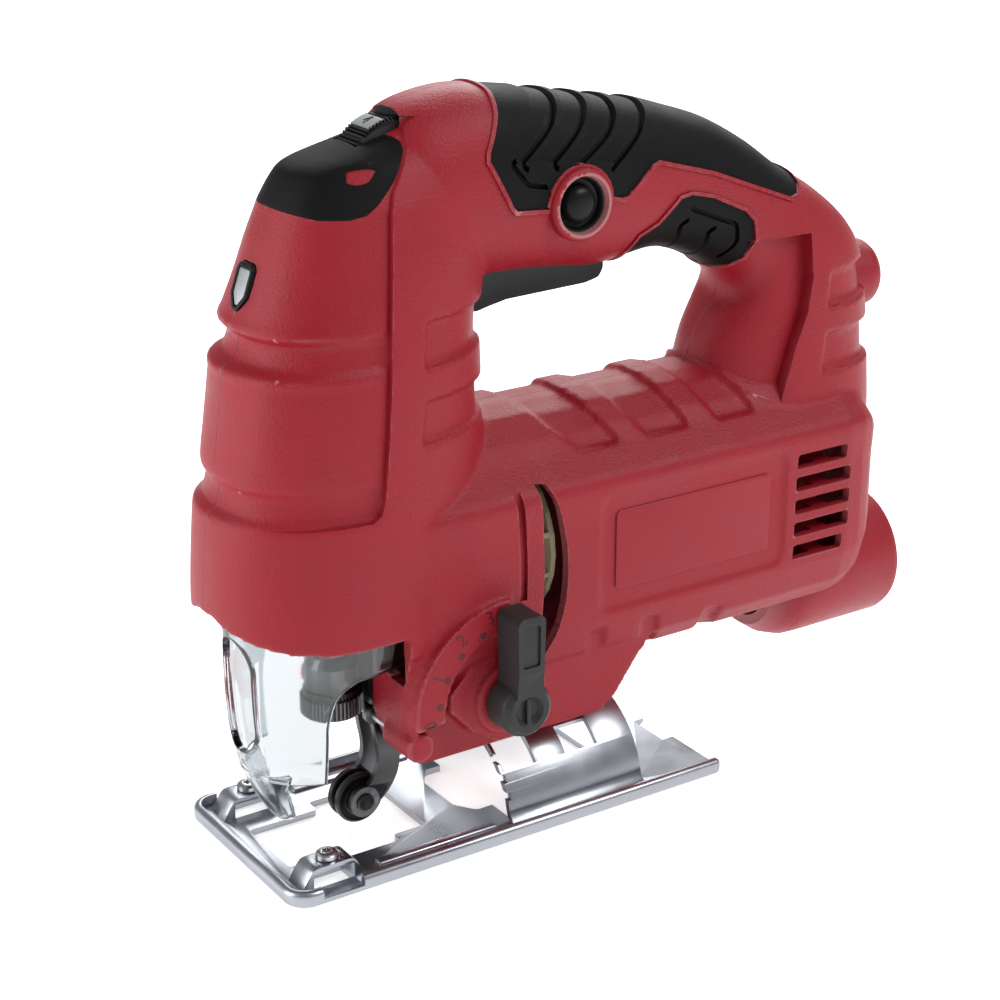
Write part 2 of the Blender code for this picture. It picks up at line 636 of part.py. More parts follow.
def build_motor():
    axis = (0, MOTOR_Z)
    shaft = turned("motor_shaft", "X", axis, ((GEAR_FRONT, 0), (GEAR_FRONT, PINION_BORE),
                                              (GEAR_REAR + 2.2, PINION_BORE),
                                              (GEAR_REAR + 2.2, SHAFT_R), (SHAFT_REAR, SHAFT_R),
                                              (SHAFT_REAR, 0)))
    finish(shaft, STEEL)
    fit = SHAFT_R + 0.1
    core = turned("armature_core", "X", axis,
                  ((STATOR_FRONT - 6, fit), (STATOR_FRONT - 6, 11), (STATOR_FRONT, 12.5),
                   (STATOR_FRONT, ARMATURE_R), (STATOR_REAR, ARMATURE_R), (STATOR_REAR, 12.5),
                   (STATOR_REAR + 5, 11), (STATOR_REAR + 5, fit)))
    finish(core, CORE_STEEL)
    finish(tube("commutator", "X", axis, (COMMUTATOR_FRONT, COMMUTATOR_FRONT + 13),
                COMMUTATOR_R, fit), COPPER)
    for name, front in (("front_bearing", FRAME_FRONT + 0.5), ("rear_bearing", 120.5)):
        finish(tube(name, "X", axis, (front, front + 6), BEARING_R, SHAFT_R + RUN), STEEL)

    stator = tube("stator_core", "X", axis, (STATOR_FRONT, STATOR_REAR), STATOR_R, BORE_R)
    coils = []
    for name, middle in (("field_coil_upper", 90), ("field_coil_lower", 270)):
        def sector(label, low, high, half, span):
            outline = (arc(axis, low, middle - half, middle + half, 8)
                       + arc(axis, high, middle + half, middle - half, 8))
            return prism(label, "X", outline, span)
        coil = sector(name, COIL_LOW, COIL_HIGH, 62, (STATOR_FRONT - 5, STATOR_REAR + 5))
        cut(coil, sector("pole", COIL_LOW - 2, COIL_HIGH + 2, 38,
                         (STATOR_FRONT - GAP, STATOR_REAR + GAP)))
        for side in (-1, 1):
            outline = []
            for radius, ends in ((COIL_LOW - GAP, (36.5, 63.5)), (COIL_HIGH + GAP, (63.5, 36.5))):
                outline += arc(axis, radius, middle + side * ends[0], middle + side * ends[1], 4)
            cut(stator, prism("coil_pocket", "X", outline, (STATOR_FRONT - 1, STATOR_REAR + 1)))
        coils.append(coil)
    finish(stator, CORE_STEEL)
    for coil in coils:
        finish(coil, COPPER)

    fan = turned("fan", "X", axis, ((FAN_FRONT, fit), (FAN_FRONT, 8), (FAN_REAR - 1.5, 8),
                                    (FAN_REAR - 1.5, FAN_R), (FAN_REAR, FAN_R), (FAN_REAR, fit)))
    for i in range(FAN_BLADES):
        blade = box("fan_blade", (FAN_FRONT + 0.5, FAN_REAR - 1), (-0.7, 0.7), (7.5, FAN_R - 0.3))
        turn = Matrix.Rotation(2 * pi * (i + 0.5) / FAN_BLADES, 4, "X")
        blade.data.transform(Matrix.Translation((0, 0, MOTOR_Z * MM)) @ turn)
        join(fan, blade)
    finish(fan, CREAM)

    middle = COMMUTATOR_FRONT + 6.5
    for name, side in (("left", -1), ("right", 1)):
        brush = sorted((side * (COMMUTATOR_R + GAP), side * (COMMUTATOR_R + 9)))
        holder = sorted((side * (COMMUTATOR_R + 2), side * (COMMUTATOR_R + 14)))
        finish(box(f"brush_{name}", (middle - 2.5, middle + 2.5), brush,
                   (MOTOR_Z - 3, MOTOR_Z + 3)), CARBON)
        sleeve = box(f"brush_holder_{name}", (middle - 4, middle + 4), holder,
                     (MOTOR_Z - 4.5, MOTOR_Z + 4.5))
        inner = sorted((side * (COMMUTATOR_R - 2), side * (COMMUTATOR_R + 12)))
        cut(sleeve, box("brush_way", (middle - 2.7, middle + 2.7), inner,
                        (MOTOR_Z - 3.2, MOTOR_Z + 3.2)))
        finish(sleeve, BRONZE)


def gear_outline(teeth, centre, phase):
    """Straight-sided teeth: root, flank, tip, flank, for each tooth."""
    pitch = MODULE * teeth / 2
    root, tip = pitch - 1.15 * MODULE, pitch + 0.75 * MODULE
    step = 360 / teeth
    outline = []
    for i in range(teeth):
        middle = phase + i * step
        for radius, part in ((root, -0.27), (tip, -0.11), (tip, 0.11), (root, 0.27)):
            angle = radians(middle + part * step)
            outline.append((centre[0] + radius * cos(angle), centre[1] + radius * sin(angle)))
    return outline


def build_gearbox():
    pinion = prism("pinion", "X", gear_outline(PINION_TEETH, (0, MOTOR_Z), 90),
                   (GEAR_FRONT + 0.5, GEAR_REAR + 2))
    cut(pinion, rod("pinion_bore", "X", (0, MOTOR_Z), (GEAR_FRONT - 1, 0), PINION_BORE + 0.1))
    finish(pinion, STEEL)
    gear = prism("drive_gear", "X",
                 gear_outline(GEAR_TEETH, (0, GEAR_Z), 270 + 180 / GEAR_TEETH),
                 (GEAR_FRONT, GEAR_REAR))
    cut(gear, rod("gear_bore", "X", (0, GEAR_Z), (GEAR_FRONT - 1, 0), GEAR_SHAFT_R + RUN))
    cut(gear, rod("crank_hole", "X", (0, GEAR_Z - CRANK), (GEAR_FRONT - 1, GEAR_REAR + 1),
                  CRANK_R + 0.1, sides=16))
    finish(gear, STEEL)
    finish(rod("crank_pin", "X", (0, GEAR_Z - CRANK), (YOKE_REAR + GAP, GEAR_REAR), CRANK_R,
               sides=16), STEEL)
    finish(rod("gear_shaft", "X", (0, GEAR_Z), (GEAR_FRONT - 1, FRAME_REAR), GEAR_SHAFT_R), STEEL)

    frame = prism("gear_frame", "X", ((-20, 62), (20, 62), (20, 98), (13, 102), (11, 142),
                                      (-11, 142), (-13, 102), (-20, 98)), (FRAME_FRONT, FRAME_REAR))
    for low, high in (UPPER_BUSH, LOWER_BUSH):
        block = box("bush_block", (BLADE_X - 9, BLADE_X + 10), (-10.5, 10.5), (low + 1, high - 1))
        join(frame, block)
        for side in (-1, 1):
            rail = sorted((side * 7.8, side * 10.5))
            join(frame, box("frame_rail", (BLADE_X + 9, 2), rail, (low + 1, high - 1)))
        cut(frame, rod("bush_seat", "Z", (BLADE_X, 0), (low - 2, high + 2), BUSH_R + 0.1))
    cut(frame, rod("bearing_seat", "X", (0, MOTOR_Z), (FRAME_FRONT - 1, FRAME_REAR + 1),
                   BEARING_R + 0.1))
    cut(frame, rod("shaft_seat", "X", (0, GEAR_Z), (FRAME_FRONT - 1, FRAME_REAR + 1),
                   GEAR_SHAFT_R + 0.1))
    finish(frame, ALUMINIUM)
    for name, (low, high) in (("upper_bush", UPPER_BUSH), ("lower_bush", LOWER_BUSH)):
        finish(tube(name, "Z", (BLADE_X, 0), (low, high), BUSH_R, PLUNGER_R + RUN), BRONZE)


def build_plunger():
    finish(rod("plunger", "Z", (BLADE_X, 0), (CLAMP_BOTTOM + 14, UPPER_BUSH[1] + 4), PLUNGER_R),
           STEEL)
    yoke = box("plunger_yoke", (BLADE_X - 6.5, YOKE_REAR), (-14, 14),
               (GEAR_Z - CRANK - 6.5, GEAR_Z - CRANK + 6.5), 0.8)
    cut(yoke, box("yoke_slot", (BLADE_X + PLUNGER_R + 1, YOKE_REAR + 2),
                  (-CRANK - CRANK_R - 0.8, CRANK + CRANK_R + 0.8),
                  (GEAR_Z - CRANK - CRANK_R - 0.15, GEAR_Z - CRANK + CRANK_R + 0.15)))
    cut(yoke, rod("yoke_bore", "Z", (BLADE_X, 0), (80, 120), PLUNGER_R + 0.1))
    finish(yoke, STEEL)
    low = CLAMP_BOTTOM
    seat = low + COLLAR_HEIGHT + GAP
    clamp = turned("blade_clamp", "Z", (BLADE_X, 0),
                   ((low + 0.8, 0), (low + 0.8, 5.4), (seat, 5.4), (seat, 7.4), (seat + 7, 7.4),
                    (seat + 9.5, 6.0), (seat + 9.5, PLUNGER_R + 0.1),
                    (low + 14 - GAP, PLUNGER_R + 0.1), (low + 14 - GAP, 0)))
    cut(clamp, box("blade_slot", (BLADE_X - 3.4, BLADE_X + 3.4), (-0.8, 0.8), (30, low + 12)))
    finish(clamp, DARK_STEEL)
    finish(tube("clamp_collar", "Z", (BLADE_X, 0), (low, low + COLLAR_HEIGHT), COLLAR_R,
                5.4 + RUN), DARK_STEEL)


def ribbon(line, half):
    """An outline that runs at a distance to either side of a centre line."""
    left, right = [], []
    for i, here in enumerate(line):
        before = Vector(line[max(0, i - 1)])
        after = Vector(line[min(len(line) - 1, i + 1)])
        across = (after - before).normalized()
        normal = Vector((-across.y, across.x)) * half
        left.append(tuple(Vector(here) + normal))
        right.append(tuple(Vector(here) - normal))
    return left + right[::-1]


def build_fork():
    spine = [(-14.8, 58), (-14.8, 42), (-14.9, 36), (-14.2, 30), (-12.9, 24), (-13.4, 18),
             (-16.5, 13), (ROLLER_X, ROLLER_Z)]
    inner, outer = ROLLER_HALF + GAP, ROLLER_HALF + GAP + FORK_ARM
    fork = box("fork", (-13.6, -11.6), (0.3 - outer, outer - 0.3), (42, 57.6))
    join(fork, box("fork_tail", (-12.5, LEVER_X - 4.5), (-4.4, 4.4), (TAIL_Z, TAIL_Z + 2.2)))
    for side in (-1, 1):
        def across(low, high):
            return sorted((side * low, side * high))
        join(fork, prism("fork_arm", "Y", ribbon(spine, 3.4), across(inner, outer)),
             rod("pin_eye", "Y", (ROLLER_X, ROLLER_Z), across(inner + 0.1, outer + 0.2), 4.6,
                 sides=16),
             rod("pivot_eye", "Y", (FORK_PIVOT_X, FORK_PIVOT_Z), across(inner + 0.1, outer + 0.3),
                 2.9, sides=16))
    cut(fork, rod("pivot_bore", "Y", (FORK_PIVOT_X, FORK_PIVOT_Z), (-8, 8), FORK_PIN_R + RUN,
                  sides=16),
        rod("roller_pin_bore", "Y", (ROLLER_X, ROLLER_Z), (-8, 8), 1.9, sides=16))
    finish(fork, DARK_STEEL)
    finish(rod("fork_pin", "Y", (FORK_PIVOT_X, FORK_PIVOT_Z), (-23, 23), FORK_PIN_R, sides=16),
           STEEL)
    groove = 0.9
    roller = turned("roller", "Y", (ROLLER_X, ROLLER_Z),
                    ((-ROLLER_HALF, 1.8 + RUN), (-ROLLER_HALF, ROLLER_R - 0.5),
                     (-ROLLER_HALF + 0.5, ROLLER_R), (-groove, ROLLER_R), (-groove, ROLLER_R - 1.3),
                     (groove, ROLLER_R - 1.3), (groove, ROLLER_R), (ROLLER_HALF - 0.5, ROLLER_R),
                     (ROLLER_HALF, ROLLER_R - 0.5), (ROLLER_HALF, 1.8 + RUN)))
    finish(roller, DARK_STEEL)
    head = outer + 0.35
    pin = turned("roller_pin", "Y", (ROLLER_X, ROLLER_Z),
                 ((-head - 1, 0), (-head - 1, 2.7), (-head, 2.7), (-head, 1.8), (head, 1.8),
                  (head, 2.7), (head + 1, 2.7), (head + 1, 0)), sides=16)
    finish(pin, DARK_STEEL)


def guard_ring(z, front, middle, half, rear, thick=2.0, steps=14):
    """A C-shaped section, open to the rear: outer line out, inner line back."""
    ring = []
    for grow, turns in ((0, range(steps + 1)), (-thick, range(steps, -1, -1))):
        side = []
        for i in turns:
            turn = radians(-90 + 180 * i / steps)
            side.append((middle - (middle - front + grow) * cos(turn), (half + grow) * sin(turn), z))
        ends = [(rear, side[0][1], z)], [(rear, side[-1][1], z)]
        ring += ends[0] + side + ends[1]
    return ring


def build_guard():
    guard = loft("blade_guard", [guard_ring(27.4, -55.6, -34, 19.6, GUARD_REAR),
                                 guard_ring(40, -58.0, -32, 21.4, GUARD_REAR),
                                 guard_ring(58, -58.8, -30, 22.6, GUARD_REAR),
                                 guard_ring(75, -58.2, -30, 22.9, GUARD_REAR)])
    cut(guard, prism("below_arm", "Y", ((-40.3, 20), (-40.3, 46), (-38.5, 53), (-34, 57),
                                        (-22, 58.3), (0, 59.8), (0, 20)), (-30, 30)),
        prism("above_arm", "Y", ((-37, 80), (-35, 71), (-31, 67.3), (0, 66), (0, 80)), (-30, 30)),
        box("guard_top", (-70, 0), (-30, 30), (74.2, 80)))
    chin = loft("guard_chin", [guard_ring(10.2, -46.2, -43, 3.0, -42.0, 1.4),
                               guard_ring(16, -50.4, -45, 5.2, -44.0, 1.8),
                               guard_ring(22, -53.6, -47, 7.0, -46.5),
                               guard_ring(28.5, -56.1, -46, 9.6, -46)])
    join(guard, chin)
    window = arc((0, 53), 8.6, 0, 180, 8) + arc((0, 45), 8.6, 180, 360, 8)
    window = [(y * 0.95, z + (11 if z > 50 else -3) * 0.6) for y, z in window]
    cut(guard, prism("guard_window", "X", window, (-70, -45)),
        rod("guard_eye", "Y", GUARD_PIN, (-30, 30), GUARD_PIN_R + RUN, sides=16))
    finish(guard, CLEAR)


def build_shoe():
    low, high = 0, SHOE_LIP
    corner = 7.0
    plate = prism("shoe", "Z", [(SHOE_REAR, SHOE_HALF), (SHOE_FRONT + corner, SHOE_HALF)]
                  + arc((SHOE_FRONT + corner, SHOE_HALF - corner), corner, 105, 180, 4)
                  + arc((SHOE_FRONT + corner, corner - SHOE_HALF), corner, 180, 255, 4)
                  + [(SHOE_FRONT + corner, -SHOE_HALF), (SHOE_REAR, -SHOE_HALF)], (low, high))
    inset = SHOE_THICK
    inner = corner - inset
    dish = prism("dish", "Z", [(SHOE_REAR + 5, SHOE_HALF - inset),
                               (SHOE_FRONT + corner, SHOE_HALF - inset)]
                 + arc((SHOE_FRONT + corner, SHOE_HALF - corner), inner, 105, 180, 4)
                 + arc((SHOE_FRONT + corner, corner - SHOE_HALF), inner, 180, 255, 4)
                 + [(SHOE_FRONT + corner, inset - SHOE_HALF), (SHOE_REAR + 5, inset - SHOE_HALF)],
                 (SHOE_THICK, high + 5))
    cut(plate, dish)
    arch = tube("arch", "X", (0, TILT_Z), (ARCH_FRONT, ARCH_REAR), ARCH_RADIUS,
                ARCH_RADIUS - ARCH_THICK, sides=40)
    cut(arch, box("arch_below", (0, 80), (-40, 40), (-40, 0.5)))
    cut(plate, box("arch_bay", (ARCH_FRONT + 1.1, ARCH_REAR - 2),
                   (-ARCH_RADIUS + ARCH_THICK, ARCH_RADIUS - ARCH_THICK), (-2, 3)))
    join(plate, settle(arch))
    for front, rear in ((ARCH_FRONT + 1.1, 27.0), (SLOT_FRONT, SLOT_REAR)):
        reach = TILT_MAX + degrees(asin((CLAMP_SCREW_R + 0.5) / (ARCH_RADIUS - ARCH_THICK)))
        fan = [(0, TILT_Z)] + arc((0, TILT_Z), ARCH_RADIUS + 6, 90 - reach, 90 + reach, 12)
        cut(plate, prism("arch_slot", "X", fan, (front, rear)))
    cut(plate, prism("blade_opening", "Z", ((-50, -13.3), (-50, 11), (-28, 11), (-28, 16),
                                            (-6, 16), (-6, -13.4), (-17, -13.4), (-17, -17),
                                            (-46, -17), (-46, -13.3)), (-2, 3.5)),
        prism("rear_window", "Z", ((6.2, -8), (6.2, 8), (10.5, 14.3), (20, 14.3), (20, -14.3),
                                   (10.5, -14.3)), (-2, 3.5)),
        box("rear_notch", (81.6, 90), (-9, 6), (-2, 3.5)))
    for side in (-1, 1):
        band = sorted((side * (FENCE_Y - 3.8), side * (FENCE_Y + 3.8)))
        half = FENCE_WIDTH / 2
        bridge = prism("fence_bridge", "Y", ((FENCE_X - 10, 0.6), (FENCE_X - 9, 3.5),
                                             (FENCE_X - half, 8), (FENCE_X + half, 8),
                                             (FENCE_X + 9, 3.5), (FENCE_X + 10, 0.6)), band)
        join(plate, bridge)
        way = sorted((side * (FENCE_Y - 3.8 - 0.01), side * (SHOE_HALF + 1)))
        cut(plate, box("fence_way", (FENCE_X - half, FENCE_X + half), way, (SHOE_THICK, FENCE_ROOF)),
            box("fence_pit", (FENCE_X - half, FENCE_X + half), band, (-1, 3)),
            rod("fence_thread", "Z", (FENCE_X, side * FENCE_Y), (4, 9), 1.6, sides=12))
    for side in (-1, 1):
        band = sorted((side * 22.9, side * 26.3))
        join(plate, box("bead", (-29, 10), band, (1, SHOE_THICK + 0.9)))
    finish(plate, ZINC)

    for name, side in (("left", -1), ("right", 1)):
        centre = (FENCE_X, side * FENCE_Y)
        screw = turned(f"fence_screw_{name}", "Z", centre,
                       ((5.2, 0), (5.2, 1.5), (8.1, 1.5), (8.1, 3.1), (10.2, 3.1), (10.2, 0)),
                       sides=12)
        cut(screw, rod("socket", "Z", centre, (8.9, 12), 1.5, sides=6))
        finish(screw, STEEL)

    middle = (SLOT_FRONT + SLOT_REAR) / 2
    outer, inner = ARCH_RADIUS - ARCH_THICK - GAP, ARCH_RADIUS - ARCH_THICK - GAP - 2
    saddle = prism("shoe_clamp_plate", "X", arc((0, TILT_Z), outer, 60, 120, 8)
                   + arc((0, TILT_Z), inner, 120, 60, 8), (SLOT_FRONT - 3, SLOT_REAR + 3))
    cut(saddle, rod("clamp_hole", "Z", (middle, 0), (10, 30), CLAMP_SCREW_R + 0.3, sides=16))
    finish(saddle, STEEL)
    top = TILT_Z + inner * cos(radians(12)) - GAP
    screw = turned("shoe_screw", "Z", (middle, 0),
                   ((top - 5, 0), (top - 5, 4.5), (top, 4.5), (top, CLAMP_SCREW_R),
                    (36, CLAMP_SCREW_R), (36, 0)), sides=16)
    cut(screw, rod("socket", "Z", (middle, 0), (top - 8, top - 2), 2.5, sides=6))
    finish(screw, STEEL)


def build_fittings():
    gland = turned("cord_gland", "X", (0, GLAND_Z),
                   ((137.5, 4), (137.5, 12.4), (140.5, 12.4), (140.5, GLAND_R), (GLAND_REAR - 0.6, GLAND_R),
                    (GLAND_REAR, GLAND_R - 0.6), (GLAND_REAR, 4)))
    finish(gland, RED)
    port = turned("dust_port", "X", (0, PORT_Z),
                  ((117, 12), (117, 15), (126, PORT_R), (PORT_REAR - 0.5, PORT_R),
                   (PORT_REAR, PORT_R - 0.5), (PORT_REAR, PORT_BORE), (130, PORT_BORE), (121, 12)),
                  sides=32)
    finish(port, RED)
    for i, (x, z) in enumerate(SCREWS):
        seat = SINK_Y + 0.05
        screw = turned(f"housing_screw_{i + 1}", "Y", (x, z),
                       ((-9, 0), (-9, SCREW_R), (seat, SCREW_R), (seat, SCREW_HEAD_R),
                        (seat + 2.2, SCREW_HEAD_R), (seat + 2.2, 0)), sides=12)
        finish(screw, DARK_STEEL)


# what moves: the piece that leads, a point on its joint's axis, and the pieces it carries
CARRIED = (
    ("trigger", (TRIGGER_FRONT, 0, TRIGGER_LOW), ()),
    ("lock_on_button", (BUTTON_X, -20, BUTTON_Z), ()),
    ("front_button", (LAMP_X, 0, LAMP_Z), ()),
    ("speed_dial", (DIAL_X, 0, DIAL_Z), ()),
    ("pendulum_lever", (LEVER_X, LEVER_FACE, LEVER_Z), ("pendulum_shaft",)),
    ("fork", (FORK_PIVOT_X, 0, FORK_PIVOT_Z), ("roller_pin", "roller")),
    ("roller", (ROLLER_X, 0, ROLLER_Z), ()),
    ("plunger", (BLADE_X, 0, CLAMP_BOTTOM), ("plunger_yoke", "blade_clamp", "clamp_collar")),
    ("clamp_collar", (BLADE_X, 0, CLAMP_BOTTOM), ()),
    ("motor_shaft", (GEAR_FRONT, 0, MOTOR_Z), ("armature_core", "commutator", "fan", "pinion")),
    ("drive_gear", (GEAR_FRONT, 0, GEAR_Z), ("crank_pin",)),
    ("blade_guard", (GUARD_PIN[0], 0, GUARD_PIN[1]), ()),
    ("shoe", (0, 0, TILT_Z), ("fence_screw_left", "fence_screw_right")),
)


def set_origins():
    """Origins go on the joints' axes, and each moving piece carries what is fixed to it."""
    for name, point, carried in CARRIED:
        offset = Vector(point) * MM
        leader = parts.objects[name]
        leader.data.transform(Matrix.Translation(-offset))
        leader.location = offset
        for other in carried:
            parts.objects[other].parent = leader
            parts.objects[other].matrix_parent_inverse = Matrix.Translation(-offset)


build_soft_parts(build_housing())
build_controls()
build_motor()
build_gearbox()
build_plunger()
build_fork()
build_guard()
build_shoe()
build_fittings()
set_origins()
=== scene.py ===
# %% [markdown]
# # An orbital jigsaw, piece by piece
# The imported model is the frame: every solid, its place and what it moves with. This lesson keeps
# those places, and gives each piece its moulded, stamped or turned shape and its finish.

# %% Load the frame
from math import atan2, cos, hypot, pi, radians, sin

import bpy
from mathutils import Matrix, Vector


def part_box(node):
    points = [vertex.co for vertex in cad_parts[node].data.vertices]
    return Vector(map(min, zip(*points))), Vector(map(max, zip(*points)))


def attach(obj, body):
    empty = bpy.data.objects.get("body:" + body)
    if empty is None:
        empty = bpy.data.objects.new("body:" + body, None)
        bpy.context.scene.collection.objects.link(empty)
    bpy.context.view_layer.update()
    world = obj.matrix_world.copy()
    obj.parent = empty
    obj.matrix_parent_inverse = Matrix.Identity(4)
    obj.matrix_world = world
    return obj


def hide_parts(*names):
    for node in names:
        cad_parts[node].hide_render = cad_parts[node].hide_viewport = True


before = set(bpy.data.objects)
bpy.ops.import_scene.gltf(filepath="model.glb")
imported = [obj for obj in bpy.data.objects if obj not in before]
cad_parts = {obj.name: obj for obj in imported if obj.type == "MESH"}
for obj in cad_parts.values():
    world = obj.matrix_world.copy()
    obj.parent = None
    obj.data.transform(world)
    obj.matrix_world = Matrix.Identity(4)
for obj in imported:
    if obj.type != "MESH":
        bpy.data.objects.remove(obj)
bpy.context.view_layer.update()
MM = 0.001
scene = bpy.context.scene


def middle_mm(node):
    """The middle of a CAD node's box, in millimetres."""
    low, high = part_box(node)
    return [(a + b) / 2 / MM for a, b in zip(low, high)]


def span_mm(node):
    """The lowest and highest corners of a CAD node, in millimetres."""
    low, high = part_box(node)
    return [a / MM for a in low], [b / MM for b in high]


# %% [markdown]
# ## The camera
# A long lens from the front left, a little above, looks along the tool. The camera comes first,
# because everything else is judged through it.

# %% Set up the camera
camera_data = bpy.data.cameras.new("studio_camera")
camera_data.lens = 80.87
camera_data.sensor_width = 36
camera = bpy.data.objects.new("studio_camera", camera_data)
scene.collection.objects.link(camera)
camera.location = (-0.2975, -0.4950, 0.3206)
toward = Vector((0.5117, 0.7784, -0.3636))
camera.rotation_euler = toward.to_track_quat("-Z", "Y").to_euler()
scene.camera = camera
print("camera", round(camera.location.length, 3), "m from the origin")

# %% [markdown]
# ## Helpers that work as hands do
# Each helper starts from a Blender primitive or an outline and shapes it with edit-mode operators.
# An operator acts on all that is selected, so the selection is always cleared first.


# %% Selection and edit mode
def only(obj):
    """Make one object the selected and active one."""
    for other in bpy.context.selected_objects:
        other.select_set(False)
    obj.select_set(True)
    bpy.context.view_layer.objects.active = obj
    return obj


def editing(obj, *actions):
    """Run edit-mode actions on everything in one object."""
    only(obj)
    bpy.ops.object.mode_set(mode="EDIT")
    bpy.ops.mesh.select_all(action="SELECT")
    for action in actions:
        action()
    bpy.ops.object.mode_set(mode="OBJECT")
    return obj


def outward():
    """Merge what touches and turn the faces outwards."""
    bpy.ops.mesh.select_all(action="SELECT")
    bpy.ops.mesh.remove_doubles(threshold=0.000005)
    bpy.ops.mesh.normals_make_consistent(inside=False)


def mesh_piece(name, points, edges=(), faces=()):
    """A new object from points in millimetres."""
    mesh = bpy.data.meshes.new(name)
    mesh.from_pydata([Vector(p) * MM for p in points], edges, faces)
    obj = bpy.data.objects.new(name, mesh)
    scene.collection.objects.link(obj)
    return only(obj)


def use(obj, kind, **settings):
    """Add a modifier with its settings and apply it."""
    only(obj)
    modifier = obj.modifiers.new(kind.lower(), kind)
    for key, value in settings.items():
        setattr(modifier, key, value)
    bpy.ops.object.modifier_apply(modifier=modifier.name)
    return obj


def soften(obj, width, segments=3, angle=30):
    """Round the edges sharper than an angle."""
    return use(obj, "BEVEL", width=width * MM, segments=segments, limit_method="ANGLE",
               angle_limit=radians(angle), harden_normals=False, miter_outer="MITER_ARC")


def smooth(obj, angle=35):
    """Shade smooth across the edges below an angle."""
    only(obj)
    bpy.ops.object.shade_smooth_by_angle(angle=radians(angle), keep_sharp_edges=False)
    return obj


def copy_of(obj, name):
    """A copy with a mesh of its own."""
    twin = obj.copy()
    twin.data = obj.data.copy()
    twin.name = name
    scene.collection.objects.link(twin)
    return twin


# %% [markdown]
# ## Solids to cut and join with
# Boxes, rods, plates, turned forms and skins cover almost all of the tool. Booleans join and cut
# them, as a toolmaker builds up and mills a mould.

# %% Make simple solids
def block(name, x, y, z, radius=0.0, segments=3):
    """A box between two corners, its edges rounded."""
    size = [b - a for a, b in (x, y, z)]
    middle = [(a + b) / 2 * MM for a, b in (x, y, z)]
    bpy.ops.mesh.primitive_cube_add(size=1, location=middle)
    obj = bpy.context.object
    obj.name = name
    obj.scale = [s * MM for s in size]
    only(obj)
    bpy.ops.object.transform_apply(location=True, rotation=True, scale=True)
    if radius:
        editing(obj, lambda: bpy.ops.mesh.bevel(offset=radius * MM, segments=segments,
                                                affect="EDGES"))
    return obj


def along(axis, centre, at):
    """A point on an axis-parallel line: the two cross coordinates, then the place along it."""
    a, b = centre
    return {"X": (at, a, b), "Y": (a, at, b), "Z": (a, b, at)}[axis]


def turned(name, axis, centre, profile, sides=64):
    """Spin a profile of (place along the axis, radius) right round it."""
    origin = Vector(along(axis, centre, 0)) * MM
    side = {"X": (0, 0, 1), "Y": (0, 0, 1), "Z": (0, 1, 0)}[axis]
    way = {"X": (1, 0, 0), "Y": (0, 1, 0), "Z": (0, 0, 1)}[axis]
    points = [Vector(along(axis, centre, at)) + Vector(side) * r for at, r in profile]
    closed = profile[0][1] > 0 or profile[-1][1] > 0
    count = len(points)
    edges = [(i, i + 1) for i in range(count - 1)] + ([(count - 1, 0)] if closed else [])
    obj = mesh_piece(name, points, edges)
    return editing(obj, lambda: bpy.ops.mesh.spin(steps=sides, dupli=False, angle=2 * pi,
                                                  use_auto_merge=True, center=origin, axis=way),
                   outward)


def mirrored(half):
    """A profile from its half at positive places, which the other half mirrors."""
    return [(-at, radius) for at, radius in reversed(half)] + half


def rod(name, axis, centre, span, radius, sides=48):
    """A cylinder along an axis."""
    return turned(name, axis, centre, ((span[0], 0), (span[0], radius), (span[1], radius),
                                       (span[1], 0)), sides)


def plate(name, axis, outline, span):
    """An outline in the plane across an axis, filled and extruded."""
    points = [along(axis, point, span[0]) for point in outline]
    obj = mesh_piece(name, points, (), [list(range(len(points)))])
    rise = Vector(along(axis, (0, 0), span[1] - span[0])) * MM
    return editing(obj, lambda: bpy.ops.mesh.extrude_region_move(
        TRANSFORM_OT_translate={"value": rise}), outward)


def skin(name, rings):
    """A closed skin over rings of equal count, capped at both ends."""
    count = len(rings[0])
    points = [point for ring in rings for point in ring]
    faces = []
    for level in range(len(rings) - 1):
        for i in range(count):
            j = (i + 1) % count
            a, b = level * count, (level + 1) * count
            faces.append((a + i, a + j, b + j, b + i))
    faces.append(list(range(count)))
    faces.append([(len(rings) - 1) * count + i for i in range(count)])
    return editing(mesh_piece(name, points, (), faces),
                   lambda: bpy.ops.mesh.normals_make_consistent(inside=False))


def boolean(target, tools, how):
    """Join, cut or trim the target with solids, which are used up."""
    for tool in tools:
        use(target, "BOOLEAN", operation=how, object=tool, solver="MANIFOLD")
        bpy.data.objects.remove(tool)
    return target


def join(target, *tools):
    return boolean(target, tools, "UNION")


def cut(target, *tools):
    return boolean(target, tools, "DIFFERENCE")


def keep(target, *tools):
    return boolean(target, tools, "INTERSECT")


def sideways(side, inner, outer):
    """A span across the tool, to the left for side -1 and to the right for side 1."""
    return sorted((side * inner, side * outer))


def arc(centre, radius, start, end, steps):
    """Points on an arc, from one angle in degrees to another."""
    return [(centre[0] + radius * cos(radians(start + (end - start) * i / steps)),
             centre[1] + radius * sin(radians(start + (end - start) * i / steps)))
            for i in range(steps + 1)]


def rounded(outline, radius, steps=4):
    """An outline with each corner replaced by a small curve."""
    made = []
    for i, here in enumerate(outline):
        here = Vector(here)
        before, after = Vector(outline[i - 1]), Vector(outline[(i + 1) % len(outline)])
        reach = min(radius, (before - here).length / 2.2, (after - here).length / 2.2)
        start = here + (before - here).normalized() * reach
        end = here + (after - here).normalized() * reach
        for k in range(steps + 1):
            t = k / steps
            made.append(tuple(start * (1 - t) ** 2 + here * 2 * t * (1 - t) + end * t * t))
    return made


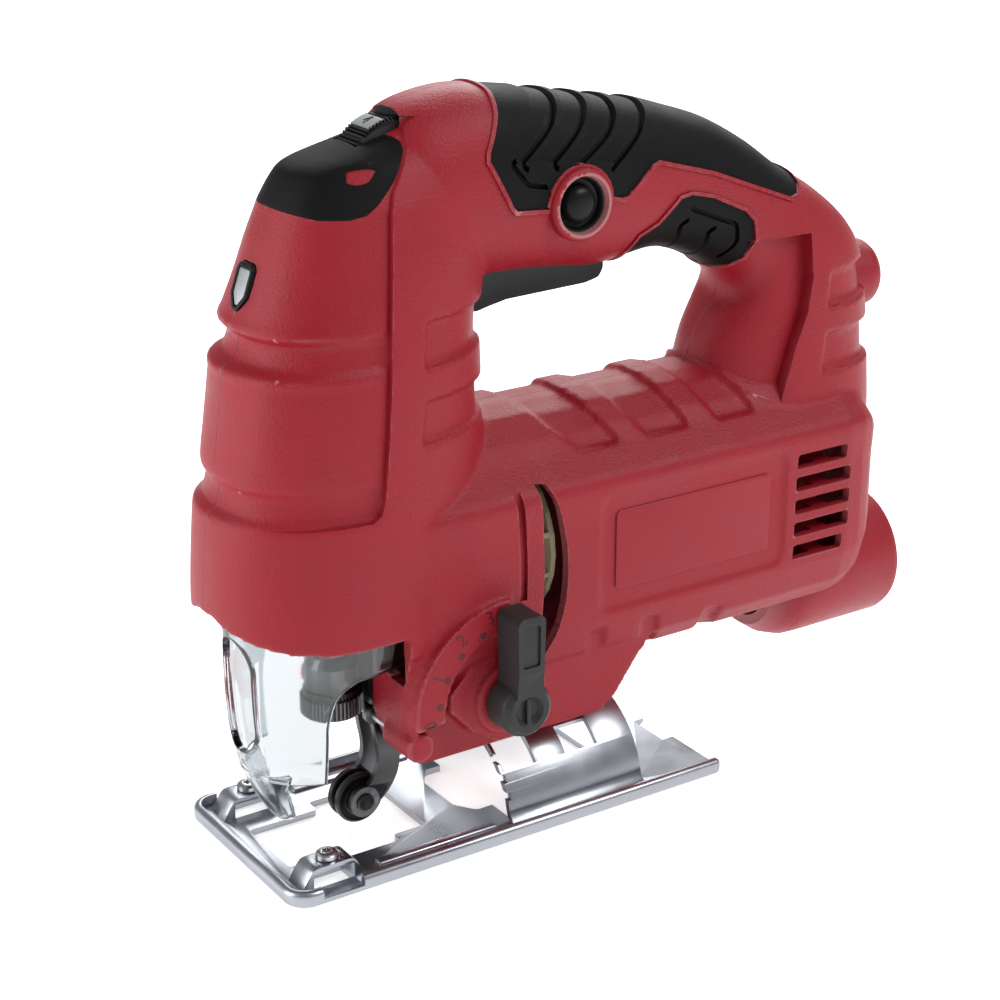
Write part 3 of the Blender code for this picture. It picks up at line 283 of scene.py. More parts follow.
def toothed(centre, count, radius, depth, marks):
    """A wheel's outline: each tooth's top and foot lie at four marks of its pitch."""
    points = []
    for i in range(count):
        for mark, reach in zip(marks, (radius, radius, radius - depth, radius - depth)):
            turn = 2 * pi * (i + mark) / count
            points.append((centre[0] + reach * cos(turn), centre[1] + reach * sin(turn)))
    return points


def swell(outline, by):
    """An outline moved outwards by a distance, or inwards by a negative one."""
    area = sum(a[0] * b[1] - b[0] * a[1] for a, b in zip(outline, outline[1:] + outline[:1]))
    turn = 1 if area > 0 else -1
    moved = []
    for i, here in enumerate(outline):
        before = Vector(here) - Vector(outline[i - 1])
        after = Vector(outline[(i + 1) % len(outline)]) - Vector(here)
        first = Vector((before.y, -before.x)).normalized() * turn
        second = Vector((after.y, -after.x)).normalized() * turn
        bisector = (first + second).normalized()
        moved.append(tuple(Vector(here) + bisector * by / max(0.4, bisector.dot(first))))
    return moved


def step(low, high, value):
    """0 below low, 1 above high, and a smooth rise between."""
    t = min(1, max(0, (value - low) / (high - low)))
    return t * t * (3 - 2 * t)


def between(rows, at, column=0):
    """The row at a place in a table, on a smooth curve through its rows."""
    if at <= rows[0][column]:
        return list(rows[0])
    for i in range(len(rows) - 1):
        if at <= rows[i + 1][column]:
            break
    else:
        return list(rows[-1])
    a, b = rows[i], rows[i + 1]
    before = rows[i - 1] if i else a
    after = rows[i + 2] if i + 2 < len(rows) else b
    t = (at - a[column]) / (b[column] - a[column])
    made = []
    for p, q, r, s in zip(before, a, b, after):
        made.append(q + 0.5 * t * (r - p + t * (2 * p - 5 * q + 4 * r - s
                                                + t * (3 * (q - r) + s - p))))
    return made


print("helpers ready")

# %% [markdown]
# ## The housing's form
# Two nylon shells meet on the centre plane. The form is drawn from sections, as a loft: the nose
# from level outlines, the handle from outlines square to a bent line, the motor barrel from
# outlines across the motor's axis. Sizes in millimetres.

# %% Sections of the housing
# height, front, middle, rear, half width, bluntness
NOSE = ((64, -65.5, -30, 16, 30.9, 2.2), (78, -65.6, -30, 16, 31.1, 2.2),
        (92, -64.8, -29, 16, 31.0, 2.2), (106, -63.5, -28.5, 16.2, 30.8, 2.2),
        (112, -62.0, -28, 16.5, 30.6, 2.2),
        (130, -58.9, -28, 17, 30.0, 2.15), (143, -56.8, -27, 17, 29.0, 2.1),
        (155, -53.2, -25, 18, 27.2, 2.1), (166, -49.4, -22, 20, 25.4, 2.1),
        (175, -46.2, -20, 24, 23.5, 2.1), (184, -42.6, -17, 25, 21.5, 2.1),
        (189, -39.8, -15, 25, 19.4, 2.1), (193, -35.6, -13, 25, 17.2, 2.15),
        (197, -22.0, -6, 24, 13.5, 2.2), (201, -9.0, 2, 22, 9.0, 2.3))
# the panel on the nose: where its rear edge runs, as (height, x)
PANEL_EDGE = ((98, -36), (104, -31), (107, -28.2), (111, -27), (129, -25), (153, -22.5),
              (168, -20.5), (183, -18.3), (188, -16.5), (193, -12.5), (198, -8), (204, -4))
# the panel's steps at the tip, as (height, how far the surface moves out)
PANEL_STEPS = ((104, 0.2), (107.2, -2.4), (112.6, -2.6), (115.0, -0.8), (119, -0.4), (141, 0.2),
               (143.6, 0.8), (145.9, -2.6), (151.6, -2.6), (153.8, 0.9), (157, 0.5), (166, 0),
               (210, 0))
# centre x, centre z, half height, half width, slope in degrees, bluntness
HANDLE = ((-15, 176.5, 21.5, 13, 6, 2.1), (-9, 178.6, 24.6, 17.4, 4, 2.2),
          (-2, 181.2, 26.0, 19.3, 0, 2.3), (12, 183.3, 25.9, 19.5, 0, 2.4),
          (26, 182.6, 25.0, 19.3, 0, 2.5), (41, 180.8, 24.3, 19.0, -2, 2.5),
          (55, 178.6, 23.6, 18.5, -5, 2.5), (66, 178.0, 22.2, 18.2, -8, 2.4),
          (77, 176.8, 20.0, 18.0, -11, 2.4), (88, 173.6, 19.2, 18.0, -16, 2.4),
          (99.5, 167.8, 18.4, 18.3, -22, 2.4), (110, 160.6, 17.8, 19.2, -31, 2.4),
          (118, 153.5, 20.5, 20.5, -46, 2.4), (124, 142.5, 26.6, 21.8, -70, 2.4),
          (124, 128, 30.0, 22.8, -84, 2.4), (123.5, 112, 31.5, 24.0, -90, 2.5),
          (123.5, 96.5, 31.5, 25.0, -90, 2.5), (122, 91, 27.5, 25.0, -90, 2.5))
# half section of the motor barrel: (y, z)
BARREL = ((4, 120.8), (12, 118.8), (19.0, 113.6), (23.0, 109.2), (30.0, 103.0), (31.0, 101.0),
          (31.1, 98.5), (30.4, 90), (30.4, 66), (30.0, 60), (27.4, 50.5), (23, 45.0), (15, 41.5),
          (5, 40.6))
BARREL_RUN = ((-20, 0.96), (0, 1.0), (132, 1.0), (138, 0.97), (142, 0.915), (145, 0.84),
              (146.5, 0.74))
BARREL_MID = middle_mm("motor_shaft")[2]
SKIRT = ((-20, 72), (-20, 41), (-17.5, 33), (-14, 27.6), (47, 27.6), (52.5, 33.5), (61, 45.5),
         (70, 60), (70, 72))
SKIRT_HALF, SOLE_HALF = 27.5, 24.5
WALL = 3.0
GRIP_THICK = 2.0


def oval(front, rear, half, power, count):
    """A blunt oval about the origin, egg-shaped where front and rear differ."""
    ring = []
    for i in range(count):
        turn = 2 * pi * (i + 0.5) / count
        c, s = cos(turn), sin(turn)
        reach = rear if c > 0 else front
        ring.append((reach * abs(c) ** (2 / power) * (1 if c > 0 else -1),
                     half * abs(s) ** (2 / power) * (1 if s > 0 else -1)))
    return ring


def nose(name, wall=0.0, low=64.0, high=203.5, pitch=0.9, count=208, detail=True, sink=0.0):
    """The nose's loft. Sink lowers its whole side, and leaves the front tip where it is."""
    rings = []
    levels = int((high - low) / pitch)
    for i in range(levels + 1):
        z = low + (high - low) * i / levels
        row = between(NOSE, min(z, 201))
        _, front, middle, rear, half, power = row
        ring = []
        for x, y in oval(middle - front - wall, rear - middle - wall, half - wall, power, count):
            x += middle
            if detail:
                edge = between(PANEL_EDGE, z)[1]
                inside = step(0, 2.0, edge - x) * step(103.8, 107.2, z)
                tip = step(0.25, 1.0, (middle - x) / (middle - front))
                out = between(PANEL_STEPS, z)[1] * (0.34 + 0.66 * tip)
                toward_x, toward_y = x - middle, y * 1.35
                size = max(1, hypot(toward_x, toward_y))
                out = out * inside + (0.12 - sink * (1 - tip) if sink else 0)
                x += out * toward_x / size
                y += out * toward_y / size
            ring.append((x, y, z))
        rings.append(ring)
    return skin(name, rings)


def handle(name, wall=0.0, pieces=9, count=144, pinch=0.0):
    """The handle's loft, set in by a wall, its rear column pinched from the sides."""
    rings = []
    for i in range(len(HANDLE) - 1):
        for k in range(pieces + (i == len(HANDLE) - 2)):
            place = i + k / pieces
            rows = [(n,) + row for n, row in enumerate(HANDLE)]
            _, x, z, high, half, slope, power = between(rows, place)
            up_dir = radians(slope)
            half -= pinch * step(9.8, 12.0, place)
            ring = oval(high - wall, high - wall, half - wall, power, count)
            rings.append([(x - sin(up_dir) * up, side, z + cos(up_dir) * up) for up, side in ring])
    return skin(name, rings)


def barrel(name, wall=0.0, run=BARREL_RUN):
    """The motor barrel's loft, set in by a wall."""
    outline = list(BARREL) + [(-y, z) for y, z in reversed(BARREL)]
    rings = []
    for x, scale in run:
        ring = []
        for y, z in outline:
            out = hypot(y, z - BARREL_MID)
            shrink = scale - wall / out
            ring.append((x, y * shrink, BARREL_MID + (z - BARREL_MID) * shrink))
        rings.append(ring)
    return skin(name, rings)


def skirt(name, wall=0.0):
    """The tapering block between the barrel and the shoe, set in by a wall."""
    low = min(z for x, z in SKIRT) + wall
    near, far = [], []
    for x, z in SKIRT:
        x += wall if x < 0 else (-wall if x > 40 else 0)
        z = max(z, low)
        half = SOLE_HALF + (SKIRT_HALF - SOLE_HALF) * (z - low) / (72 - low) - wall
        near.append((x, -half, z))
        far.append((x, half, z))
    return skin(name, [near, far])


# %% [markdown]
# ## Build the outer form
# The lofts are joined, shallow recesses are sunk in them, and then the whole form is remeshed and
# smoothed a little. That rounds every join as a mould's corners are rounded.

# %% Join and mould the form
LEVER = (9.6, 45.5)
BUTTON = (41.0, 177.0)
FORK_PIN = (-17.6, 36.6)
ACROSS = (-45, 45)      # wider than the housing


def carve(target, base, depth_name, outlines):
    """Sink outlines, seen from the side, down to an inner skin of the form."""
    tools = [plate(f"{depth_name}_{i}", "Y", outline, ACROSS)
             for i, outline in enumerate(outlines)]
    for tool in tools:
        cut(tool, copy_of(base, "depth"))
        cut(target, tool)
    bpy.data.objects.remove(base)
    return target


def slice_off(obj, a, b, c):
    """Cut away what lies outside the plane through three points, on the side away from the axis."""
    a, b, c = Vector(a), Vector(b), Vector(c)
    normal = (b - a).cross(c - a).normalized()
    if normal.y * a.y < 0:
        normal = -normal
    slab = block("slab", (-40, 40), (-40, 40), (0, 40))
    slab.data.transform(Matrix.Translation(a * MM) @ normal.to_track_quat("Z", "Y")
                        .to_matrix().to_4x4())
    keep(slab, block("cap_zone", (-90, -8), (-60, 60), (100, 260)))
    return cut(obj, slab)


form = nose("housing_form")
for side in (-1, 1):
    slice_off(form, (-37, side * 9, 193.2), (-9, side * 14, 198.6), (-24, side * 21.9, 183.4))
RIM_LINE = ((0, 77.4), (5, 76.9), (10.6, 75.2), (19, 72.7), (23, 71.6), (29.4, 70.0), (34, 69.0))
rim_half = [between(RIM_LINE, 34 * i / 30) for i in range(31)]
RIM = ([(-40, 50), (40, 50), (40, 68.4)] + [tuple(point) for point in rim_half[::-1]]
       + [(-y, z) for y, z in rim_half[1:]] + [(-40, 68.4)])
cut(form, plate("rim", "X", RIM, (-80, -20.3)))
carve(form, nose("column_depth", 1.8, detail=False), "column_recess",
      [((-11, 155), (-13, 142.5), (30, 143.6), (30, 153.5)),
       ((-13, 134.5), (-15, 122.5), (30, 124.0), (30, 132.8))])
ribbed = barrel("barrel_form")
carve(ribbed, barrel("rib_depth", 1.5), "rib",
      [((39, 108.8), (53.5, 108.8), (44, 123), (26, 123)),
       ((62, 108.8), (77.5, 108.8), (71, 123), (53, 123)),
       ((87, 108.8), (101.5, 108.8), (94, 123), (80, 123))])
carve(ribbed, barrel("plate_depth", 1.0), "side_plate",
      [rounded(((41.5, 61.5), (108, 61.5), (108, 98.2), (41.5, 98.2)), 4.5)])
carve(ribbed, barrel("notch_depth", 1.6), "notch",
      [((40, 47), (46, 46), (45, 56.5), (39, 56.5)), ((59, 43), (66, 43), (63.5, 56), (57.5, 56)),
       ((82, 40), (89, 40), (87, 53), (80.5, 53))])
bent = handle("handle_form")
carve(bent, handle("rear_recess_depth", 2.0), "rear_recess",
      [((129, 145.5), (127.5, 135), (170, 137), (170, 147)),
       ((127, 127.5), (125.5, 116), (170, 117), (170, 128))])
join(form, ribbed, bent, skirt("skirt_form"))
saddle = block("saddle", (16, 46), (-11.5, 11.5), (24, 32))
cut(saddle, rod("saddle_seat", "X", (0, -1), (10, 52), 26.4, 128))
join(form, saddle)
for side in (-1, 1):
    join(form, rod("pivot_boss", "Y", FORK_PIN, sideways(side, 16, 31), 4.2))
join(form, rod("lever_boss", "Y", LEVER, (-33.0, -20), 10.5))
join(form, plate("detent_arc", "Y", arc(LEVER, 29.5, 88, 186, 32) + arc(LEVER, 20.2, 186, 88, 24),
                 (-32.6, -20)))
join(form, plate("lever_teardrop", "Y", arc(LEVER, 13.8, -100, 105, 24)
                 + [(-1.5, 57.0), (-8.4, 49.5), (-8.4, 45.0), (-1.0, 37.0)], (-30.6, -20)))
use(form, "REMESH", mode="VOXEL", voxel_size=0.00095, adaptivity=0)
use(form, "SMOOTH", factor=0.5, iterations=2)
carve(form, nose("panel_depth", sink=1.8), "front_panel",
      [[(-90, 105.2), (-31, 105.2)] + [(x, z) for z, x in PANEL_EDGE[2:]] + [(-90, 204)]])
for side in (-1, 1):
    slice_off(form, (-37, side * 9, 192.7), (-9, side * 14, 198.1), (-24, side * 21.6, 183.2))
carve(form, join(handle("loop_depth", 0.15, pinch=4.2), barrel("barrel_guard", -0.4)), "loop_sweep",
      [[(121.5, 158), (122, 145), (120, 135), (116, 126), (108.5, 104), (70, 104), (70, 158)]])
print("housing form:", len(form.data.polygons), "faces")

# %% [markdown]
# ## Finishes
# Every finish is a procedural material, named for the real one. Patterns are sized in
# millimetres on the object's own coordinates, so the grain is right at any distance.


# %% Node helpers
def linear(code):
    """A hex sRGB colour as linear RGBA."""
    channels = [int(code[i:i + 2], 16) / 255 for i in (1, 3, 5)]
    return [c / 12.92 if c <= 0.04045 else ((c + 0.055) / 1.055) ** 2.4 for c in channels] + [1]


def add(tree, kind, inputs=None, **settings):
    """Add a node, set it, and link or set its inputs."""
    node = tree.nodes.new(kind)
    for key, value in settings.items():
        setattr(node, key, value)
    for key, value in (inputs or {}).items():
        if isinstance(value, bpy.types.NodeSocket):
            tree.links.new(value, node.inputs[key])
        else:
            node.inputs[key].default_value = value
    return node


def ramp(tree, source, stops):
    """A colour ramp over a source, from (place, colour) stops."""
    node = add(tree, "ShaderNodeValToRGB", {"Fac": source})
    elements = node.color_ramp.elements
    while len(elements) < len(stops):
        elements.new(0.5)
    for element, (place, colour) in zip(elements, stops):
        element.position = place
        element.color = colour
    return node.outputs["Color"]


def grey(value):
    """A grey as RGBA."""
    return (value, value, value, 1)


def finish_of(name, colour, roughness, grain=0.5, bump=0.02, metallic=0.0, mottle=0.06, edge=0.0,
              spread=0.06, brushed=None, **shader):
    """A finish with fine grain, mottled colour, uneven gloss and, where asked, sharp edges lightened
    towards white as a painted highlight.
    """
    material = bpy.data.materials.new(name)
    material.use_nodes = True
    tree = material.node_tree
    tree.nodes.clear()
    place = add(tree, "ShaderNodeTexCoord").outputs["Object"]
    if brushed:
        place = add(tree, "ShaderNodeMapping", {"Vector": place, "Scale": brushed}).outputs[0]
    fine = add(tree, "ShaderNodeTexNoise", {"Vector": place, "Scale": 1 / (grain * MM),
                                            "Detail": 3.0, "Roughness": 0.6})
    broad = add(tree, "ShaderNodeTexNoise", {"Vector": place, "Scale": 1 / (14 * MM),
                                             "Detail": 4.0, "Roughness": 0.55})
    base = linear(colour)
    tint = base
    if mottle:
        dark = [c * (1 - mottle) for c in base[:3]] + [1]
        light = [min(1, c * (1 + mottle)) for c in base[:3]] + [1]
        tint = ramp(tree, broad.outputs["Fac"], ((0.3, dark), (0.7, light)))
    # Painted highlight: where asked, sharp convex edges, found by pointiness, are lightened towards
    # white.
    if edge:
        edge_highlight_colour = [min(1, c + (1 - c) * edge) for c in base[:3]] + [1]
        geometry = add(tree, "ShaderNodeNewGeometry")
        edge_highlight_mask = ramp(tree, geometry.outputs["Pointiness"], ((0.53, grey(0)), (0.6, grey(1))))
        mixed = add(tree, "ShaderNodeMix", data_type="RGBA")
        tree.links.new(edge_highlight_mask, mixed.inputs["Factor"])
        tree.links.new(tint, mixed.inputs["A"])
        mixed.inputs["B"].default_value = edge_highlight_colour
        tint = mixed.outputs["Result"]
    gloss = ramp(tree, broad.outputs["Fac"], ((0.3, grey(roughness - spread)),
                                              (0.7, grey(roughness + spread))))
    relief = add(tree, "ShaderNodeBump", {"Height": fine.outputs["Fac"], "Strength": 1.0,
                                          "Distance": bump * MM})
    inputs = {"Base Color": tint, "Roughness": gloss, "Metallic": metallic,
              "Normal": relief.outputs["Normal"]}
    inputs.update(shader)
    shade = add(tree, "ShaderNodeBsdfPrincipled", inputs)
    add(tree, "ShaderNodeOutputMaterial", {"Surface": shade.outputs["BSDF"]})
    material.diffuse_color = base
    return material


# %% [markdown]
# The red shells are glass-filled nylon from a spark-eroded mould: a fine, dry grain with a soft
# sheen. The grips are a soft rubber moulded over it, duller, with a finer grain.

# %% Mix the finishes
RED = finish_of("red_nylon_spark_grain", "#941826", 0.45, grain=0.7, bump=0.22, mottle=0.05,
                edge=0.14, **{"Specular IOR Level": 0.3})
RED_SMOOTH = finish_of("red_nylon_smooth", "#941826", 0.4, grain=1.0, bump=0.012, mottle=0.04,
                       edge=0.18, **{"Specular IOR Level": 0.3})
# Painted shade: a darker red for the scale's figures and dots, standing for the shade that lies in
# them.
RED_PAINTED_SHADE = finish_of("red_nylon_in_shade", "#4E0A12", 0.5, grain=0.7, bump=0.05, mottle=0.05)
RUBBER = finish_of("black_soft_rubber", "#0B0B0C", 0.6, grain=0.5, bump=0.09, mottle=0.12,
                   edge=0.02, **{"Specular IOR Level": 0.14})
BLACK = finish_of("black_nylon_satin", "#0C0C0E", 0.4, grain=0.6, bump=0.03, mottle=0.1,
                  edge=0.03, **{"Specular IOR Level": 0.2})
CLEAR = finish_of("clear_polycarbonate", "#CBD3D6", 0.07, grain=6.0, bump=0.02, mottle=0.0,
                  spread=0.03, IOR=1.585)
CLEAR.node_tree.nodes["Principled BSDF"].inputs["Transmission Weight"].default_value = 1.0
ZINC = finish_of("bright_zinc_plate", "#A9ADB4", 0.33, grain=2.5, bump=0.012, metallic=1.0,
                 mottle=0.05, spread=0.08)
STEEL = finish_of("bright_turned_steel", "#C2C4C8", 0.28, grain=0.3, bump=0.01, metallic=1.0,
                  mottle=0.05, brushed=(1, 1, 8))
OXIDE = finish_of("black_oxide_steel", "#2C2A2B", 0.36, grain=0.8, bump=0.02, metallic=1.0,
                  mottle=0.25, spread=0.08, edge=0.15)
LAMINATION = finish_of("stacked_lamination_steel", "#7C7C80", 0.45, grain=0.5, bump=0.04,
                       metallic=1.0, brushed=(9, 1, 1))
COPPER = finish_of("enamelled_copper_wire", "#B4693A", 0.32, grain=0.5, bump=0.08, metallic=1.0,
                   mottle=0.2)
BRONZE = finish_of("sintered_bronze", "#A8824A", 0.5, grain=0.25, bump=0.03, metallic=1.0,
                   mottle=0.18)
ALUMINIUM = finish_of("die_cast_aluminium", "#A9ABAE", 0.46, grain=0.9, bump=0.05, metallic=1.0,
                      mottle=0.12)
CREAM = finish_of("cream_polyamide", "#D9CFAE", 0.45, grain=0.8, bump=0.02)
CARBON = finish_of("pressed_carbon", "#2A2A2A", 0.62, grain=0.3, bump=0.04, mottle=0.3)
GREY_PRINT = finish_of("grey_pad_print", "#8F9294", 0.5, grain=0.4, bump=0.01)
SILVER = finish_of("silver_satin_foil", "#B9BCC0", 0.34, grain=0.4, bump=0.015, metallic=1.0)

SLOTS = {"red_nylon": RED, "soft_black": RUBBER, "black_plastic": BLACK, "clear_plastic": CLEAR,
         "zinc_plate": ZINC, "bright_steel": STEEL, "black_oxide_steel": OXIDE,
         "lamination_steel": LAMINATION, "copper": COPPER, "sintered_bronze": BRONZE,
         "cast_aluminium": ALUMINIUM, "cream_plastic": CREAM, "carbon": CARBON}


def done(piece, finish, slot, body, *nodes, angle=35):
    """Finish a piece, set it on its body, and let it stand for its CAD nodes."""
    piece.data.materials.clear()
    piece.data.materials.append(finish)
    piece.data.polygons.foreach_set("material_index", [0] * len(piece.data.polygons))
    smooth(piece, angle)
    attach(piece, body)
    if nodes:
        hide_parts(*nodes)
    print(f"{piece.name}: {len(piece.data.polygons)} faces, on {body}")
    return piece


# %% [markdown]
# ## The hollow shells
# The form is hollowed to a 3 mm wall, with ribs for the motor and bosses for the screws, as the
# mould core leaves it. Then the openings are cut, and it is split on the centre plane.

# %% Draw the edges of the soft pieces and place the small ones
GRIP_EDGE = ([(18, 230), (19.5, 208), (17.5, 203), (12.6, 194), (12.4, 192), (19.4, 179.2),
              (20.5, 178), (30.6, 177.2)]
             + arc(BUTTON, 10.9, 176, 4, 14)
             + [(55.4, 176.8), (57, 177.3), (65.6, 184.6), (68, 185.4), (87, 180), (115.5, 168.9),
                (118.5, 169.2), (121.2, 171.4), (122, 175), (121, 190), (100, 230)])
PAD_EDGE = [(60, 140), (61.6, 160), (63.5, 164), (69, 167), (72.5, 170.6), (75.5, 173.6), (79, 174.2),
            (86.5, 172.4), (98, 167), (101, 164), (102.2, 158), (101, 152.5), (97, 148.5),
            (90, 140)]
CAP_EDGE = [(-70, 184.6), (-55, 186.6), (-45, 184.6), (-36, 182.4), (-29, 182.2), (-24.5, 183.0),
            (-20.5, 185.6), (-15, 190.4), (-9.5, 196.6), (-7, 205), (-6, 215), (-70, 215)]
SCREWS = ((-16.0, 160.0), (-45.0, 128.0), (66.0, 184.0), (127.0, 148.0), (137.0, 107.0),
          (40.0, 46.0), (112.0, 52.0))
SHIELD = ((-3.0, 170), (3.0, 170), (4, 168.6), (4, 161.8), (1.2, 158.4), (-1.2, 158.4), (-4, 161.8),
          (-4, 168.6))
DIAL = (-7.0, 188.5)
DIAL_R, DIAL_ROOM, DIAL_HALF = 15.0, 15.6, 5.5
DIAL_SLOT = (-DIAL_HALF - 0.4, DIAL_HALF + 0.4)
LAMP = (-49.5, 164.0)
PORT_Z, GLAND_Z = middle_mm("dust_port")[2], middle_mm("cord_gland")[2]


def shield_outline(grow):
    """The front button's rounded outline, moved outwards."""
    return swell(rounded(SHIELD, 0.8, 3), grow)


def seat_form(name, thick):
    """The nose and handle set in by a thickness, which the soft pieces sit on."""
    base = nose(name, thick, 60, 203.5 - thick, pitch=2.2, count=120, detail=False)
    return join(base, handle(name + "_handle", thick, 5, 96))


# %% Hollow the housing, with ribs for the motor and bosses for the screws
shell = copy_of(form, "shell")
hollow = nose("hollow", 3.6, 55, 197.5, pitch=5, count=40, detail=False)
inner_run = [(-17, 0.96)] + list(BARREL_RUN[1:-1]) + [(143.4, 0.8)]
join(hollow, barrel("hollow_barrel", WALL, inner_run), handle("hollow_handle", 5.2, 2, 32),
     skirt("hollow_skirt", WALL), block("fork_bay", (-26, -6), (-9, 9), (20, 60)))
for x, width, hole in ((35.5, 3, 17.0), (56, 3, 26.3), (84, 3, 26.3), (120.5, 6, 9.62)):
    rib = block("rib", (x, x + width), (-40, 40), (32, 124))
    cut(rib, rod("rib_hole", "X", (0, BARREL_MID), (x - 1, x + width + 1), hole, 64))
    cut(hollow, rib)
for x, z in SCREWS:
    cut(hollow, rod("boss", "Y", (x, z), (-40, 40), 4.2, 24))
cut(shell, hollow)

# %% Sink the pockets and pierce the housing
for name, edge in (("grip_pocket", GRIP_EDGE), ("pad_pocket", PAD_EDGE), ("cap_pocket", CAP_EDGE)):
    pocket = plate(name, "Y", swell(edge, 0.12), ACROSS)
    cut(pocket, seat_form(name + "_seat", GRIP_THICK))
    cut(shell, pocket)

low, high = span_mm("trigger")
cut(shell, block("trigger_slot", (low[0] - 0.5, high[0] + 0.5), (low[1] - 0.3, high[1] + 0.3),
                 (140, 172)))
cut(shell, rod("dial_slot", "Y", DIAL, DIAL_SLOT, DIAL_ROOM, 128))
cut(shell, plate("button_port", "X", shield_outline(0.35), (-70, LAMP[0] + 9)))
cut(shell, rod("gland_hole", "X", (0, GLAND_Z), (140, 170), 10.8, 64))
cut(shell, rod("port_hole", "X", (0, PORT_Z), (116.5, 170), 20.8, 96))
cut(shell, rod("fork_pin_hole", "Y", FORK_PIN, (-24, 24), 1.6, 24))
cut(shell, rod("lever_hole", "Y", LEVER, (-40, -5), 4.15, 32))
for side in (-1, 1):
    cut(shell, block("guard_bay", (-30, -6.5), sideways(side, 19, 26), (54, 74)))
cut(shell, rod("sole_screw_hole", "Z", (42.85, 0), (20, 40), 2.65, 32))
for side in (-1, 1):
    span = sideways(side, 22, 40)
    cut(shell, plate("fan_vent", "Y", arc((-23.3, 78), 53.8, -29, 29, 40)
                     + arc((-120.5, 80), 143, 10, -10, 30), span))
    cut(shell, plate("vent_step", "Y", arc((-120.5, 80), 137.5, 11.5, -3.2, 30)
                     + arc((-120.5, 80), 135.2, -3.2, 11.5, 30), sideways(side, 29.2, 40)))
    for i in range(5):
        z = 62.2 + 7.15 * i
        rear = 130.5 + min(i, 1) * 2 - max(0, i - 3) * 2
        cut(shell, block("rear_vent", (111.5, rear), span, (z, z + 4.6), 1.0))
    join(shell, rod("guard_peg", "Y", (-12, 62.7), sideways(side, 17.5, 28.5), 1.45, 24))

# %% [markdown]
# A thin bead of red stands round each soft piece. It hides the line where the rubber ends, and it
# catches the light.

# %% Add the beads, split the halves and drill for the screws
proud = copy_of(form, "proud")
use(proud, "DISPLACE", strength=0.6 * MM, mid_level=0)
for name, edge, wide in (("grip_bead", GRIP_EDGE, 1.2), ("pad_bead", PAD_EDGE, 1.1)):
    bead = plate(name, "Y", swell(edge, wide), ACROSS)
    cut(bead, plate(name + "_inner", "Y", swell(edge, 0.12), (-46, 46)))
    keep(bead, copy_of(proud, "proud_bead"))
    cut(bead, seat_form("bead_seat", 1.0))
    join(shell, bead)
collar = rod("button_collar", "Y", BUTTON, (-21.0, -10), 10.0, 96)
soften(collar, 1.4, 5)
join(shell, collar)
cut(shell, rod("button_hole", "Y", BUTTON, (-40, 0), 5.3, 64))
cut(shell, turned("button_dish", "Y", BUTTON, ((-30, 0), (-30, 8.6), (-21, 8.0), (-19.6, 7.5),
                                               (-16.6, 7.2), (-16.6, 0)), 96))
bpy.data.objects.remove(proud)

SIDES = {"left": (-60, -0.1), "right": (0.1, 60)}


def one_side(whole, name, side):
    """A copy of what lies on one side of the centre plane."""
    half = copy_of(whole, name)
    return keep(half, block(f"{side}_side", (-100, 200), SIDES[side], (-20, 260)))


for name in SIDES:
    half = one_side(shell, f"housing_shell_{name}", name)
    for x, z in SCREWS:
        if name == "right":
            cut(half, rod("screw_hole", "Y", (x, z), (-1, 45), 2.0, 24),
                rod("screw_sink", "Y", (x, z), (11, 45), 3.7, 32))
        else:
            cut(half, rod("screw_hole", "Y", (x, z), (-10, 1), 2.0, 24))
    done(half, RED, "red_nylon", "housing", f"housing_{name}", angle=40)
bpy.data.objects.remove(shell)

# %% [markdown]
# ## Soft pieces
# The grips, the finger pads and the front cap fill their pockets flush with the form. Chevron
# grooves cross the grip, so that fingers don't slip on it.

# %% Mould the grips, pads and cap
WALLS = (((46.5, 216), (39.4, 205.4), (37, 202.5), (33.1, 198.3), (22.3, 190.3), (24.4, 187.8)),
         ((56.5, 214), (49.2, 203), (46.8, 200.7), (42.4, 196.6), (32.3, 189.1), (34.0, 186.8)),
         ((66, 213), (58.8, 202), (56.4, 198.4), (51.9, 194.2), (41.6, 187.9), (40.6, 187.0)),
         ((76, 211), (69.4, 200.2), (67.3, 197.8), (62.4, 193), (53.1, 186.1), (51.0, 184.2)),
         ((20.6, 191.4), (19.2, 190.2), (24.0, 184.4), (31, 182.8)))
LIPS = (((38.5, 217), (31.7, 206.2), (27.6, 201.2), (19.2, 194.2)),
        ((49.0, 216), (42.4, 205.2), (39.6, 202.0), (35.4, 197.6), (26.8, 191.4)),
        ((59.0, 214), (52.2, 202.8), (49.4, 200.0), (45.0, 195.8), (36.6, 189.8)),
        ((68.5, 213), (61.8, 201.6), (59.2, 198.0), (54.6, 193.6), (46.4, 188.4)))
SCOOPS = [lip + wall[-2::-1] for lip, wall in zip(LIPS, WALLS)]
PAD_WALLS = (((78.9, 170.5), (95.6, 163.6), (97.1, 157.6), (94.3, 152.4)),
             ((79.9, 167.2), (77.0, 165.4), (78.7, 160), (78.4, 148)),
             ((89.6, 163.7), (86.9, 162.0), (88.7, 157), (88, 145)))


def ribbon(line, half):
    """An outline that runs at a distance to either side of a centre line."""
    left, right = [], []
    for i, here in enumerate(line):
        before = Vector(line[max(0, i - 1)])
        after = Vector(line[min(len(line) - 1, i + 1)])
        direction = (after - before).normalized()
        normal = Vector((-direction.y, direction.x)) * half
        left.append(tuple(Vector(here) + normal))
        right.append(tuple(Vector(here) - normal))
    return left + right[::-1]


